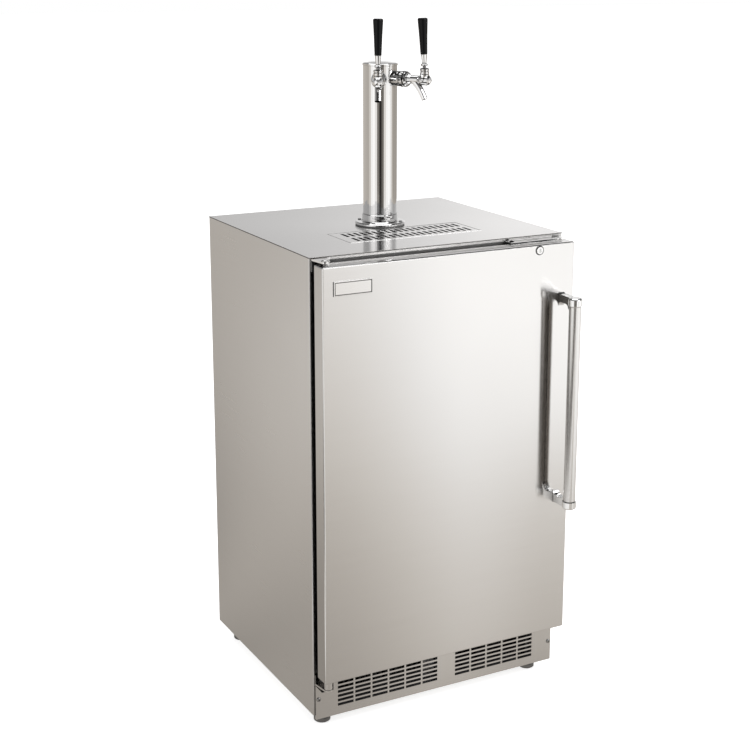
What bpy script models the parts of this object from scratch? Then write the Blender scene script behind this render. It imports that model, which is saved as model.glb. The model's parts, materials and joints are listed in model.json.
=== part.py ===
"""A two-tap kegerator: a stainless undercounter cabinet with a left-hung door, a draft tower on
its top with two rear-sealing faucets, and a machine compartment behind the kick grille.

Everything is drawn in the cabinet's frame, in metres: X to the right, Y to the back from the
cabinet's front face, Z up from the floor. The root empty then centres the depth on the origin.
"""
import math

import bpy
import bmesh
from mathutils import Vector

# Cabinet case
case_width = 0.514
case_depth = 0.457
case_top = 0.876
case_bottom = 0.031
case_sheet = 0.0012
bend_radius = 0.002
front_return = 0.022
rear_return = 0.014
fit_gap = 0.0003
overrun = 0.002
weld_distance = 0.000003
arc_steps = 4
sweep_steps = 10
coarse_steps = 12
small_steps = 16
lever_steps = 20
round_steps = 24
knob_steps = 28
handle_steps = 32
hex_sides = 6

# Insulated cavity
cavity_from_side = 0.0425
cavity_floor = 0.143
cavity_below_top = 0.047
cavity_from_rear = 0.042
hump_depth = 0.123
hump_top = 0.228
liner_wall = 0.0015
liner_flange_height = 0.023
floor_foam = 0.027
hump_foam = 0.024
deck_sheet = 0.001
deck_bend_radius = 0.0013

# Door
door_side_reveal = 0.00275
door_below_top = 0.009
door_below_cavity = 0.032
door_gap = 0.0142
door_thickness = 0.0308
door_sheet = 0.001
door_edge_radius = 0.0025
door_liner_sheet = 0.0015
plug_side_gap = 0.0095
plug_end_gap = 0.008
plug_depth = 0.010
plug_floor = 0.004
plug_rim = 0.030
plug_draft = 0.004
gasket_width = 0.018
gasket_side_inset = 0.0138
gasket_end_inset = 0.0175
gasket_lip = 0.0015
gasket_section_shares = (
    (0.22, 0), (0.12, 0.22), (0, 0.42), (0, 0.78), (0.14, 1),
    (0.86, 1), (1, 0.78), (1, 0.42), (0.88, 0.22), (0.78, 0),
)

# Hinges
hinge_from_side = 0.0155
hinge_behind_front = 0.030
hinge_plate_inset = 0.0025
hinge_plate = 0.003
hinge_plate_length = 0.035
hinge_plate_drop = 0.0015
hinge_lower_drop = 0.0165
hinge_shoulder_radius = 0.0075
hinge_nose_radius = 0.0085
hinge_leg = 0.019
hinge_pin_radius = 0.004
hinge_pin_reach = 0.012
hinge_head_radius = 0.0065
hinge_head = 0.002
pin_clearance = 0.0004

# Door handle
handle_from_edge = 0.0261
handle_standoff = 0.0447
handle_below_top = 0.0934
handle_length = 0.402
handle_radius = 0.011
cap_radius = 0.0128
cap_height = 0.0155
cap_round = 0.003
arm_height = 0.0145
arm_width = 0.013
arm_fillet = 0.008

# Door lock
lock_from_edge = 0.07575
lock_below_top = 0.0098
lock_ring_radius = 0.0072
lock_ring = 0.0015
lock_barrel_radius = 0.0052
lock_plug_radius = 0.0034
lock_tail_radius = 0.0025
cam_length = 0.0135
cam_width = 0.006
cam_sheet = 0.002
cam_gap = 0.0015
key_slot_width = 0.001
key_slot_depth = 0.003
strike_from_edge = 0.00425
strike_length = 0.114
strike_reach = 0.0148
strike_sheet = 0.0014
strike_above_door = 0.0016
strike_flange = 0.013
strike_slot_width = 0.0036
strike_slot_length = 0.021
strike_spare_from_lock = 0.052
strike_spare_length = 0.0165

# Kick grille
kick_side_reveal = 0.003
kick_below_case = 0.007
kick_below_door = 0.0025
kick_projection = 0.0042
kick_notch_height = 0.034
kick_notch_width = 0.023
kick_shoulder_drop = 0.018
vent_margin_side = 0.044
vent_margin_low = 0.0167
vent_land = 0.0035
vent_pitch_z = 0.0085
vent_slot_height = 0.0052
vent_rows = 6
vent_left_columns = 6
vent_right_columns = 5

# Feet
foot_inset_side = 0.033
foot_inset_front = 0.034
foot_inset_rear = 0.040
foot_radius = 0.0155
foot_pad = 0.011
foot_neck_radius = 0.0095
foot_nut_flats = 0.022
foot_nut = 0.009
foot_stem_radius = 0.005
foot_stem = 0.028
foot_hole_clearance = 0.0005
pan_flange = 0.014

# Drip tray in the top
tray_half_width = 0.1345
tray_front = 0.086
tray_back = 0.181
tray_depth = 0.013
tray_sheet = 0.001
tray_plate = 0.0016
drip_slot_count = 20
drip_slot_pitch = 0.0122
drip_slot_width = 0.0064
drip_slot_length = 0.031
drip_row_gap = 0.012
drip_slot_shift = 0.004

# Draft tower
tower_behind_tray = 0.051
tower_height = 0.305
column_radius = 0.03175
column_wall = 0.0016
column_segments = 48
flange_radius = 0.047
flange_plate = 0.0045
sleeve_radius = 0.0335
sleeve_height = 0.019
tower_gasket_radius = 0.0460
tower_gasket = 0.0016
tower_cap_radius = 0.0328
tower_cap_rim = 0.0042
tower_cap_dome = 0.0026
tower_cap_plug = 0.012
cap_dome_shares = ((0.72, 0.55), (0.38, 0.9))
line_hole_radius = 0.024

# Faucets: lengths run outward from the tower's axis
faucet_spread = 30
faucet_below_top = 0.0300
shank_radius = 0.0105
shank_bore = 0.004
shank_inner_end = 0.0265
shank_outer_end = 0.0520
nipple_radius = 0.0035
nipple_inner_end = 0.0135
collar_end = 0.0477
collar_radius = 0.0140
collar_lip = 0.0018
collar_slope = 0.0027
collar_step = 0.0022
nut_end = 0.0612
nut_radius = 0.0150
nut_chamfer = 0.0026
nut_profile_shares = (
    (0, 0.62), (0.10, 0), (0.50, 0), (0.56, 0.92),
    (0.64, 0.92), (0.70, 0.31), (0.81, 0.31), (1, 1),
)
nut_notches = 8
nut_notch_depth = 0.0020
nut_notch_share = 0.42
nut_notch_length_share = 0.44
nut_bore = 0.0122
thread_radius = 0.0118
body_rear = 0.0525
body_ring_radius = 0.0095
body_ring = 0.0022
barrel_start = 0.0686
barrel_end = 0.0842
chamber_start = 0.0882
chamber_end = 0.1005
barrel_radius = 0.0076
chamber_radius = 0.0098
lever_reach = 0.0957
nose_end = 0.1093
nose_shares = ((0.86, 0.48), (0.58, 0.82))
faucet_bore = 0.0050
bore_end = 0.1020
boss_radius = 0.0070
boss_top = 0.0121
boss_shoulder_radius = 0.0088
boss_shoulder = 0.0102
boss_bore = 0.0053
slot_behind = 0.0095
slot_ahead = 0.0040
slot_half = 0.0028
spout_root = 0.0720
spout_root_drop = 0.0005
spout_bend = 0.0850
spout_bend_drop = 0.0110
spout_tip = 0.0962
spout_tip_drop = 0.0350
spout_root_radius = 0.0072
spout_radius = 0.0060
spout_bore = 0.0045
spout_steps = 5
drain_steps = 10
bonnet_radius = 0.0086
bonnet_top = 0.0215
bonnet_mouth = 0.0069
bonnet_lip = 0.0006
ball_clearance = 0.0007
bonnet_profile_shares = (
    (0.91, 0), (1, 0.12), (1, 0.41), (0.86, 0.50),
    (0.86, 0.57), (1, 0.66), (1, 0.84), (0.9, 1),
)
pivot_height = 0.0160
pivot_ball = 0.0045
ball_angles = (-72, -36, 0, 34)
finger_reach = 0.0168
finger_ball = 0.0022
finger_neck = 0.0012
lever_stem = 0.0031
lever_collar_low = 0.0095
lever_collar_high = 0.0136
lever_collar_radius = 0.0064
lever_collar_edge = 0.0008
ferrule_low = 0.0148
ferrule_high = 0.0298
ferrule_low_radius = 0.0040
ferrule_high_radius = 0.0061
ferrule_taper = 0.0005
knob_high = 0.0956
knob_radius = 0.0093
knob_profile_shares = ((0.62, 0), (0.69, 0.015), (0.82, 0.5), (1, 0.955), (0.96, 0.98), (0.76, 1))
lever_lean = 3
shaft_radius = 0.0022
shaft_disc_radius = 0.0045
shaft_disc = 0.0030
shaft_rear = 0.0717
shaft_front = 0.1010
fork_half = 0.0052
fork_slot_half = 0.0027
fork_top = 0.0018
fork_slot_floor = 0.0034

# Machine compartment and cooling
condenser_from_side = 0.045
condenser_width = 0.198
condenser_front = 0.030
condenser_depth = 0.120
condenser_height = 0.058
condenser_fins = 18
fin_share = 0.34
fan_from_side = 0.137
fan_behind_hump = 0.030
fan_radius = 0.060
fan_tip_gap = 0.004
fan_frame = 0.003
fan_frame_depth = 0.022
fan_hub_radius = 0.016
fan_motor_radius = 0.013
fan_spoke_width = 0.007
fan_blades = 5
fan_blade_sheet = 0.0016
fan_pitch = 32
blade_chord_share = 0.8
blade_root_share = 0.7
blade_shares = ((0, 0.42, 1), (0.5, 0.62, 0.85), (1, 0.72, 0.7))
compressor_from_side = 0.137
compressor_from_rear = 0.071
compressor_length = 0.150
compressor_width = 0.116
compressor_height = 0.140
compressor_foot = 0.010
compressor_base_sheet = 0.003
compressor_pad_radius = 0.008
compressor_seam = 0.0025
seam_levels = (5, 6)
can_square_share = 0.8
can_shares = (
    (0, 0.60), (0.04, 0.82), (0.12, 0.96), (0.25, 1), (0.58, 1), (0.58, 1),
    (0.64, 1), (0.64, 1), (0.80, 0.97), (0.91, 0.82), (0.97, 0.58), (1, 0.25),
)
gland_radius = 0.011
gland_height = 0.052
gland_from_side = 0.072
gland_lip = 0.002
gland_bore = 0.0045
air_cover_side_gap = 0.0645
air_cover_below_ceiling = 0.029
air_cover_height = 0.330
air_cover_depth = 0.034
air_cover_sheet = 0.0015
air_fan_radius = 0.046
air_fan_below_ceiling = 0.114
guard_bar = 0.0035
guard_boss_radius = 0.0128
return_slot_length = 0.090
return_slot_height = 0.006
return_slot_pitch = 0.014
return_slots = 4
floor_plate_sheet = 0.002
floor_plate_rib = 0.003
floor_plate_ribs = 5
floor_plate_margin = 0.006
control_from_wall = 0.0945
control_width = 0.110
control_front = 0.040
control_depth = 0.060
control_height = 0.034
control_bevel = 0.004
dial_radius = 0.0125
dial_depth = 0.012
dial_profile_shares = ((0.8, 0), (0.88, 0.08), (0.92, 0.75), (1, 0.8), (1, 1))

# Places worked out from the sizes above
half_width = case_width / 2
door_top = case_top - door_below_top
door_bottom = cavity_floor - door_below_cavity
door_half = half_width - door_side_reveal
kick_top = door_bottom - kick_below_door
kick_bottom = case_bottom - kick_below_case
cavity_half = half_width - cavity_from_side
cavity_top = case_top - cavity_below_top
cavity_back = case_depth - cavity_from_rear
hump_front = cavity_back - hump_depth
tower_y = tray_back + tower_behind_tray
handle_high = door_top - handle_below_top
handle_low = handle_high - handle_length
handle_x = door_half - handle_from_edge
front_reach = door_gap + door_thickness + handle_standoff + cap_radius
depth_centre = (case_depth - front_reach) / 2
side_top = case_top - case_sheet - fit_gap
door_back = -door_gap
door_face = -door_gap - door_thickness
hinge_place = Vector((-half_width + hinge_from_side, -hinge_behind_front, 0))
handle_y = door_face - handle_standoff
lock_place = Vector((door_half - lock_from_edge, 0, door_top - lock_below_top))
flange_outer = half_width - front_return - fit_gap
flange_low = cavity_floor - liner_flange_height + gasket_lip
flange_high = cavity_top + liner_flange_height - gasket_lip
deck_front = cavity_floor - floor_foam
faucet_height = case_top + tower_height - faucet_below_top
pan_floor = case_bottom + case_sheet
notch_right = -half_width + hinge_plate_inset + hinge_plate_length + fit_gap * 2


def wipe_scene():
    for old in list(bpy.data.objects):
        bpy.data.objects.remove(old, do_unlink=True)


def finish(name, colour, roughness, metallic):
    """One Principled material."""
    made = bpy.data.materials.new(name)
    made.use_nodes = True
    shader = made.node_tree.nodes["Principled BSDF"]
    shader.inputs["Base Color"].default_value = (*colour, 1)
    shader.inputs["Roughness"].default_value = roughness
    shader.inputs["Metallic"].default_value = metallic
    return made


def carrier(name, parent, place, turn=(0, 0, 0)):
    """An empty that pieces hang on: the root, or one on a joint's axis."""
    made = bpy.data.objects.new(name, None)
    bpy.context.collection.objects.link(made)
    made.parent = parent
    made.location = place
    made.rotation_euler = turn
    return made


def cabinet_place(holder):
    """Where an unturned carrier stands in the cabinet's frame."""
    place = Vector()
    while holder.parent:
        place += holder.location
        holder = holder.parent
    return place


def piece(name, mesh, look, holder, local=False):
    """Link a mesh as a named piece. Unless local, its points are in the cabinet's frame."""
    made = bpy.data.objects.new(name, mesh)
    bpy.context.collection.objects.link(made)
    made.data.materials.clear()
    made.data.materials.append(look)
    made.parent = holder
    if not local:
        made.location = -cabinet_place(holder)
    return made


def mesh_of(shape):
    """A bmesh as a mesh, with its faces pointing out."""
    bmesh.ops.recalc_face_normals(shape, faces=shape.faces)
    if shape.calc_volume(signed=True) < 0:
        bmesh.ops.reverse_faces(shape, faces=shape.faces)
    mesh = bpy.data.meshes.new("shape")
    shape.to_mesh(mesh)
    shape.free()
    return mesh


def block(low, high):
    """A box between two corners."""
    shape = bmesh.new()
    bmesh.ops.create_cube(shape, size=2)
    for vert in shape.verts:
        vert.co = Vector([(a + b + (b - a) * side) / 2 for a, b, side in zip(low, high, vert.co)])
    return mesh_of(shape)


def extruded(outline, low, high, along="z"):
    """A flat outline pushed along one axis. The outline holds the other two coordinates in order."""
    shape = bmesh.new()

    def point(pair, level):
        first, second = pair
        if along == "x":
            return (level, first, second)
        if along == "y":
            return (first, level, second)
        return (first, second, level)

    face = shape.faces.new([shape.verts.new(point(pair, low)) for pair in outline])
    grown = bmesh.ops.extrude_face_region(shape, geom=[face])
    moved = [part for part in grown["geom"] if isinstance(part, bmesh.types.BMVert)]
    bmesh.ops.translate(shape, vec=point((0, 0), high - low), verts=moved)
    return mesh_of(shape)


def turned(profile, segments, axis="z", centre=(0, 0, 0)):
    """A solid of revolution. The profile gives (radius, height) pairs; zero radius closes an end.

    A profile that never touches the axis is closed on itself as a ring.
    """
    shape = bmesh.new()
    rings = []
    for radius, height in profile:
        if radius == 0:
            rings.append([shape.verts.new((0, 0, height))])
            continue
        ring = []
        for index in range(segments):
            angle = 2 * math.pi * index / segments
            ring.append(shape.verts.new((radius * math.cos(angle), radius * math.sin(angle), height)))
        rings.append(ring)
    pairs = list(zip(rings, rings[1:]))
    if profile[0][0] and profile[-1][0]:
        pairs.append((rings[-1], rings[0]))
    for lower, upper in pairs:
        for index in range(segments):
            after = (index + 1) % segments
            if len(lower) == 1:
                shape.faces.new((lower[0], upper[after], upper[index]))
            elif len(upper) == 1:
                shape.faces.new((lower[index], lower[after], upper[0]))
            else:
                shape.faces.new((lower[index], lower[after], upper[after], upper[index]))
    for vert in shape.verts:
        x, y, z = vert.co
        if axis == "x":
            vert.co = (z, x, y)
        if axis == "y":
            vert.co = (y, z, x)
        vert.co += Vector(centre)
    return mesh_of(shape)


def disc(radius, low, high, segments, axis="z", centre=(0, 0, 0)):
    return turned([(0, low), (radius, low), (radius, high), (0, high)], segments, axis, centre)


def arc(centre, radius, start, stop, steps):
    """Points on a circle between two angles in degrees."""
    points = []
    for index in range(steps + 1):
        angle = math.radians(start + (stop - start) * index / steps)
        points.append((centre[0] + radius * math.cos(angle), centre[1] + radius * math.sin(angle)))
    return points


def rounded_corner(before, corner, after, radius, steps):
    """The arc that rounds one corner of a flat outline."""
    here = Vector(corner)
    back = (Vector(before) - here).normalized()
    ahead = (Vector(after) - here).normalized()
    half = back.angle(ahead) / 2
    middle = here + (back + ahead).normalized() * radius / math.sin(half)
    start = here + back * radius / math.tan(half)
    stop = here + ahead * radius / math.tan(half)
    points = []
    for index in range(steps + 1):
        share = index / steps
        spoke = (start - middle).slerp(stop - middle, share).normalized()
        points.append(tuple(middle + spoke * radius))
    return points


def bent_sheet(path, thickness, radius):
    """The outline of a sheet bent along a path of corners, each corner rounded.

    The path is one face of the sheet, and the other lies to the path's left. A left bend has the
    given outer radius on the path's side, and a right bend has it on the other side.
    """
    points = [Vector(place) for place in path]
    normals = []
    for here, there in zip(points, points[1:]):
        run = (there - here).normalized()
        normals.append(Vector((-run.y, run.x)))
    other = [points[0] + normals[0] * thickness]
    turns = []
    for index in range(1, len(points) - 1):
        first, second = normals[index - 1], normals[index]
        other.append(points[index] + (first + second) * thickness / (1 + first.dot(second)))
        turns.append(first.x * second.y - first.y * second.x > 0)
    other.append(points[-1] + normals[-1] * thickness)
    near = [tuple(points[0])]
    far = [tuple(other[0])]
    for index, left in enumerate(turns, start=1):
        near_radius = radius if left else radius - thickness
        far_radius = radius - thickness if left else radius
        near += rounded_corner(points[index - 1], points[index], points[index + 1], near_radius, arc_steps)
        far += rounded_corner(other[index - 1], other[index], other[index + 1], far_radius, arc_steps)
    near.append(tuple(points[-1]))
    far.append(tuple(other[-1]))
    return near + far[::-1]


def lofted(shape, rings):
    """Close a bmesh over rings of the same number of points, capped at both ends."""
    for lower, upper in zip(rings, rings[1:]):
        for index in range(len(lower)):
            after = (index + 1) % len(lower)
            shape.faces.new((lower[index], lower[after], upper[after], upper[index]))
    shape.faces.new(rings[0])
    shape.faces.new(rings[-1])
    return mesh_of(shape)


def tube_along(points, radii, sides):
    """A closed tube through points in a vertical plane Y = 0, with one radius at each point."""
    shape = bmesh.new()
    rings = []
    for index, here in enumerate(points):
        before = points[max(index - 1, 0)]
        after = points[min(index + 1, len(points) - 1)]
        run = (after - before).normalized()
        side = Vector((0, 1, 0))
        rise = run.cross(side)
        ring = []
        for step in range(sides):
            angle = 2 * math.pi * step / sides
            offset = (side * math.cos(angle) + rise * math.sin(angle)) * radii[index]
            ring.append(shape.verts.new(here + offset))
        rings.append(ring)
    return lofted(shape, rings)


def loose(mesh):
    """A mesh as an object that is no piece yet, for modifiers to work on."""
    made = bpy.data.objects.new("loose", mesh)
    bpy.context.collection.objects.link(made)
    return made


def taken(holder):
    """The mesh of a loose object, which is removed."""
    mesh = holder.data.copy()
    bpy.data.objects.remove(holder, do_unlink=True)
    return mesh


def combine(target, mesh, operation="DIFFERENCE"):
    """Cut a mesh away from a piece, or unite it with the piece, both in the same frame."""
    tool = loose(mesh)
    tool.parent = target
    step = target.modifiers.new(operation.lower(), "BOOLEAN")
    step.operation = operation
    step.solver = "EXACT"
    step.object = tool
    freeze(target)
    bpy.data.objects.remove(tool, do_unlink=True)


def freeze(target):
    """Turn a piece's modifiers into its mesh."""
    bpy.context.view_layer.update()
    view = bpy.context.evaluated_depsgraph_get()
    made = bpy.data.meshes.new_from_object(target.evaluated_get(view))
    shape = bmesh.new()
    shape.from_mesh(made)
    bmesh.ops.remove_doubles(shape, verts=shape.verts, dist=weld_distance)
    shape.to_mesh(made)
    shape.free()
    target.modifiers.clear()
    old = target.data
    target.data = made
    bpy.data.meshes.remove(old)


def join_shapes(meshes):
    """Several meshes as one, for a cutter of separate bodies."""
    shape = bmesh.new()
    for mesh in meshes:
        shape.from_mesh(mesh)
        bpy.data.meshes.remove(mesh)
    joined = bpy.data.meshes.new("shapes")
    shape.to_mesh(joined)
    shape.free()
    return joined


def round_edges(target, width, segments, angle=35):
    step = target.modifiers.new("round", "BEVEL")
    step.width = width
    step.segments = segments
    step.limit_method = "ANGLE"
    step.angle_limit = math.radians(angle)
    freeze(target)


def smooth(target, angle=35):
    target.data.shade_smooth()
    target.data.set_sharp_from_angle(angle=math.radians(angle))


def cavity_outline(grow):
    """The cavity's side view, front opening and rear hump, grown by a wall thickness."""
    return [
        (-overrun, cavity_floor - grow),
        (hump_front + grow, cavity_floor - grow),
        (hump_front + grow, hump_top - grow),
        (cavity_back + grow, hump_top - grow),
        (cavity_back + grow, cavity_top + grow),
        (-overrun, cavity_top + grow),
    ]


def line_bore(low):
    """The cutter for the beer lines' way up to the tower, from a level to above the top."""
    return disc(line_hole_radius, low, case_top + overrun, round_steps, centre=(0, tower_y, 0))


def make_case(root, steel, galvanised, dark):
    inner = half_width - case_sheet
    for side, name in ((-1, "side_panel_left"), (1, "side_panel_right")):
        path = [
            (side * (half_width - front_return), 0),
            (side * half_width, 0),
            (side * half_width, case_depth - case_sheet - fit_gap),
            (side * (half_width - rear_return), case_depth - case_sheet - fit_gap),
        ]
        if side < 0:
            path.reverse()
        bent = extruded(bent_sheet(path, case_sheet, bend_radius), case_bottom, side_top)
        panel = piece(name, bent, steel, root)
        smooth(panel)

    cover = block((-half_width, 0, case_top - case_sheet), (half_width, case_depth, case_top))
    top = piece("top_panel", cover, steel, root)
    lip_high = case_top - case_sheet / 2
    front_lip = block((-flange_outer, 0, flange_high + fit_gap), (flange_outer, case_sheet, lip_high))
    combine(top, front_lip, "UNION")
    tray_hole = block(
        (-tray_half_width - fit_gap, tray_front - fit_gap, case_top - case_sheet - overrun),
        (tray_half_width + fit_gap, tray_back + fit_gap, case_top + overrun),
    )
    combine(top, join_shapes([tray_hole, line_bore(case_top - case_sheet - overrun)]))

    back = piece(
        "back_panel",
        block((-inner, case_depth - case_sheet, case_bottom), (inner, case_depth, side_top)),
        galvanised,
        root,
    )
    gland_place = (half_width - gland_from_side, 0, case_bottom + gland_height)
    hole_low = case_depth - case_sheet - overrun
    hole_high = case_depth + overrun
    combine(back, disc(gland_radius + fit_gap, hole_low, hole_high, round_steps, "y", gland_place))
    lip_low = case_depth - case_sheet - gland_lip - fit_gap
    gland = piece(
        "mains_gland",
        turned(
            [
                (gland_bore, lip_low),
                (gland_radius + gland_lip, lip_low),
                (gland_radius + gland_lip, lip_low + gland_lip),
                (gland_radius, lip_low + gland_lip),
                (gland_radius, case_depth - gland_lip / 4),
                (gland_radius - gland_lip / 2, case_depth),
                (gland_bore, case_depth),
            ],
            round_steps, "y", gland_place,
        ),
        dark,
        root,
    )
    smooth(gland)

    pan_half = inner - fit_gap
    path = [
        (-pan_half, case_bottom + pan_flange),
        (-pan_half, case_bottom),
        (pan_half, case_bottom),
        (pan_half, case_bottom + pan_flange),
    ]
    pan_outline = bent_sheet(path, case_sheet, bend_radius)
    pan_front = case_sheet + fit_gap
    pan_back = case_depth - case_sheet * 2 - fit_gap * 2
    pan = piece("base_pan", extruded(pan_outline, pan_front, pan_back, "y"), galvanised, root)
    hole_radius = foot_stem_radius + foot_hole_clearance
    holes = []
    for x, y in foot_places():
        holes.append(
            disc(hole_radius, case_bottom - overrun, pan_floor + overrun, small_steps, centre=(x, y, 0))
        )
    combine(pan, join_shapes(holes))


def make_inside(root, white, foam, galvanised):
    half = cavity_half
    side = half + liner_wall
    liner = piece("inner_liner", extruded(cavity_outline(liner_wall), -side, side, "x"), white, root)
    flange = block((-flange_outer, 0, flange_low), (flange_outer, liner_wall, flange_high))
    combine(liner, flange, "UNION")
    combine(liner, extruded(cavity_outline(0), -half, half, "x"))
    combine(liner, block((-half_width, -overrun * 2, 0), (half_width, 0, case_top)))
    back = cavity_back + liner_wall
    lid_low = (-side - overrun, liner_wall + fit_gap, cavity_top - fit_gap)
    combine(liner, block(lid_low, (side + overrun, back + overrun, cavity_top + liner_wall + overrun)))
    lid = block((-side, liner_wall + fit_gap * 2, cavity_top), (side, back, cavity_top + liner_wall))
    ceiling = piece("liner_ceiling", lid, white, root)
    combine(ceiling, line_bore(cavity_top - overrun))

    grown = liner_wall + fit_gap
    foam_half = half_width - case_sheet - fit_gap
    foam_front = liner_wall + fit_gap
    foam_back = case_depth - case_sheet * 2 - fit_gap * 2
    side_view = [
        (foam_front, deck_front + deck_sheet + fit_gap),
        (hump_front + hump_foam, deck_front + deck_sheet + fit_gap),
        (hump_front + hump_foam, hump_top - hump_foam + deck_sheet + fit_gap),
        (foam_back, hump_top - hump_foam + deck_sheet + fit_gap),
        (foam_back, case_top - case_sheet - fit_gap),
        (foam_front, case_top - case_sheet - fit_gap),
    ]
    fill = piece("cabinet_insulation", extruded(side_view, -foam_half, foam_half, "x"), foam, root)
    combine(fill, extruded(cavity_outline(grown), -half - grown, half + grown, "x"))
    pocket = tray_sheet + fit_gap
    tray_pocket = block(
        (-tray_half_width - pocket, tray_front - pocket, case_top - tray_depth - pocket),
        (tray_half_width + pocket, tray_back + pocket, case_top + overrun),
    )
    combine(fill, join_shapes([tray_pocket, line_bore(cavity_top)]))

    deck_half = foam_half - fit_gap
    riser = hump_front + hump_foam + fit_gap + deck_sheet
    path = [
        (0, flange_low - fit_gap),
        (0, deck_front),
        (riser, deck_front),
        (riser, hump_top - hump_foam),
        (foam_back, hump_top - hump_foam),
    ]
    deck_outline = bent_sheet(path, deck_sheet, deck_bend_radius)
    deck = piece("machine_deck", extruded(deck_outline, -flange_outer, flange_outer, "x"), galvanised, root)
    smooth(deck)

    plate_half = half - floor_plate_margin
    plate_front = liner_wall + floor_plate_margin
    plate_back = hump_front - floor_plate_margin
    low = cavity_floor + fit_gap
    outline = [(-plate_half, low), (plate_half, low), (plate_half, low + floor_plate_sheet)]
    pitch = plate_half * 2 / (floor_plate_ribs + 1)
    for index in range(floor_plate_ribs, 0, -1):
        middle = -plate_half + pitch * index
        outline += [
            (middle + floor_plate_rib * 2, low + floor_plate_sheet),
            (middle + floor_plate_rib, low + floor_plate_sheet + floor_plate_rib),
            (middle - floor_plate_rib, low + floor_plate_sheet + floor_plate_rib),
            (middle - floor_plate_rib * 2, low + floor_plate_sheet),
        ]
    outline.append((-plate_half, low + floor_plate_sheet))
    piece("keg_floor_plate", extruded(outline, plate_front, plate_back, "y"), galvanised, root)


def make_drip_tray(root, steel):
    outer = block(
        (-tray_half_width, tray_front, case_top - tray_depth),
        (tray_half_width, tray_back, case_top - case_sheet - fit_gap - tray_plate),
    )
    pan = piece("drip_tray_pan", outer, steel, root)
    round_edges(pan, tray_sheet, 1, 80)
    combine(
        pan,
        block(
            (-tray_half_width + tray_sheet, tray_front + tray_sheet, case_top - tray_depth + tray_sheet),
            (tray_half_width - tray_sheet, tray_back - tray_sheet, case_top + overrun),
        ),
    )
    plate_low = case_top - case_sheet - tray_plate
    plate = piece(
        "drip_tray_grille",
        block((-tray_half_width, tray_front, plate_low), (tray_half_width, tray_back, case_top)),
        steel,
        root,
    )
    slots = []
    middle = (tray_front + tray_back) / 2
    first = drip_slot_shift - drip_slot_pitch * (drip_slot_count - 1) / 2
    for row in (-1, 1):
        near = middle + row * drip_row_gap / 2
        ends = sorted((near, near + row * drip_slot_length))
        for index in range(drip_slot_count):
            x = first + drip_slot_pitch * index
            half = drip_slot_width / 2
            nose = half / 2
            outline = [
                (x - half, ends[0] + nose),
                (x, ends[0]),
                (x + half, ends[0] + nose),
                (x + half, ends[1] - nose),
                (x, ends[1]),
                (x - half, ends[1] - nose),
            ]
            slots.append(extruded(outline, plate_low - overrun, case_top + overrun))
    combine(plate, join_shapes(slots))


def make_kick_grille(root, steel):
    half = half_width - kick_side_reveal
    face = -kick_projection
    box = block((-half, face, kick_bottom), (half, -fit_gap, kick_top))
    grille = piece("kick_grille", box, steel, root)
    inside = block(
        (-half + case_sheet, face + case_sheet, kick_bottom + case_sheet),
        (half - case_sheet, overrun, kick_top - case_sheet),
    )
    combine(grille, inside)
    notch_low = kick_top - kick_notch_height
    notch_left = notch_right - kick_notch_width
    shoulder = kick_top - kick_shoulder_drop
    rise = (shoulder - notch_low) / (notch_left + half)
    frame_outline = [
        (-half, shoulder - case_sheet * 2),
        (notch_left, notch_low - case_sheet),
        (notch_right + case_sheet, notch_low - case_sheet),
        (notch_right + case_sheet, kick_top),
        (-half, kick_top),
    ]
    notch_outline = [
        (-half - overrun, shoulder + rise * overrun),
        (notch_left, notch_low),
        (notch_right, notch_low),
        (notch_right, kick_top + overrun),
        (-half - overrun, kick_top + overrun),
    ]
    combine(grille, extruded(frame_outline, face, -fit_gap, "y"), "UNION")
    combine(grille, extruded(notch_outline, face - overrun, overrun, "y"))
    slots = []
    vent_half = half - vent_margin_side
    pitch = (vent_half * 2 + vent_land) / (vent_left_columns + 1 + vent_right_columns)
    for column in range(vent_left_columns + 1 + vent_right_columns):
        if column != vent_left_columns:
            left = -vent_half + pitch * column
            for row in range(vent_rows):
                low = kick_bottom + vent_margin_low + vent_pitch_z * row
                high = low + vent_slot_height
                slots.append(block((left, face - overrun, low), (left + pitch - vent_land, overrun, high)))
    combine(grille, join_shapes(slots))


def foot_places():
    rear = case_depth - foot_inset_rear
    side = half_width - foot_inset_side
    return [(-side, foot_inset_front), (side, foot_inset_front), (-side, rear), (side, rear)]


def make_feet(root, steel):
    shoulder = case_bottom - fit_gap
    nut_radius = foot_nut_flats / 2 / math.cos(math.pi / hex_sides)
    names = ("foot_front_left", "foot_front_right", "foot_rear_left", "foot_rear_right")
    for name, (x, y) in zip(names, foot_places()):
        axis = carrier(name + "_axis", root, (x, y, 0))
        profile = [
            (0, 0),
            (foot_radius - foot_pad / 8, 0),
            (foot_radius, foot_pad / 8),
            (foot_radius, foot_pad * 3 / 4),
            (foot_radius - foot_pad / 4, foot_pad),
            (foot_neck_radius, foot_pad),
            (foot_neck_radius, shoulder - foot_nut / 2),
            (foot_stem_radius, shoulder - foot_nut / 2),
            (foot_stem_radius, shoulder + foot_stem),
            (0, shoulder + foot_stem),
        ]
        foot = piece(name, turned(profile, small_steps), steel, axis, local=True)
        combine(foot, disc(nut_radius, shoulder - foot_nut, shoulder, hex_sides), "UNION")
        smooth(foot)


def lock_bore(start):
    return disc(lock_barrel_radius + fit_gap, start, overrun, round_steps, "y", lock_place)


def door_bores():
    """The cutters for the two hinge pins and the lock."""
    radius = hinge_pin_radius + pin_clearance
    reach = hinge_pin_reach + overrun
    return join_shapes([
        disc(radius, door_bottom - overrun, door_bottom + reach, round_steps, centre=hinge_place),
        disc(radius, door_top - reach, door_top + overrun, round_steps, centre=hinge_place),
        lock_bore(door_face - overrun),
    ])


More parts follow.
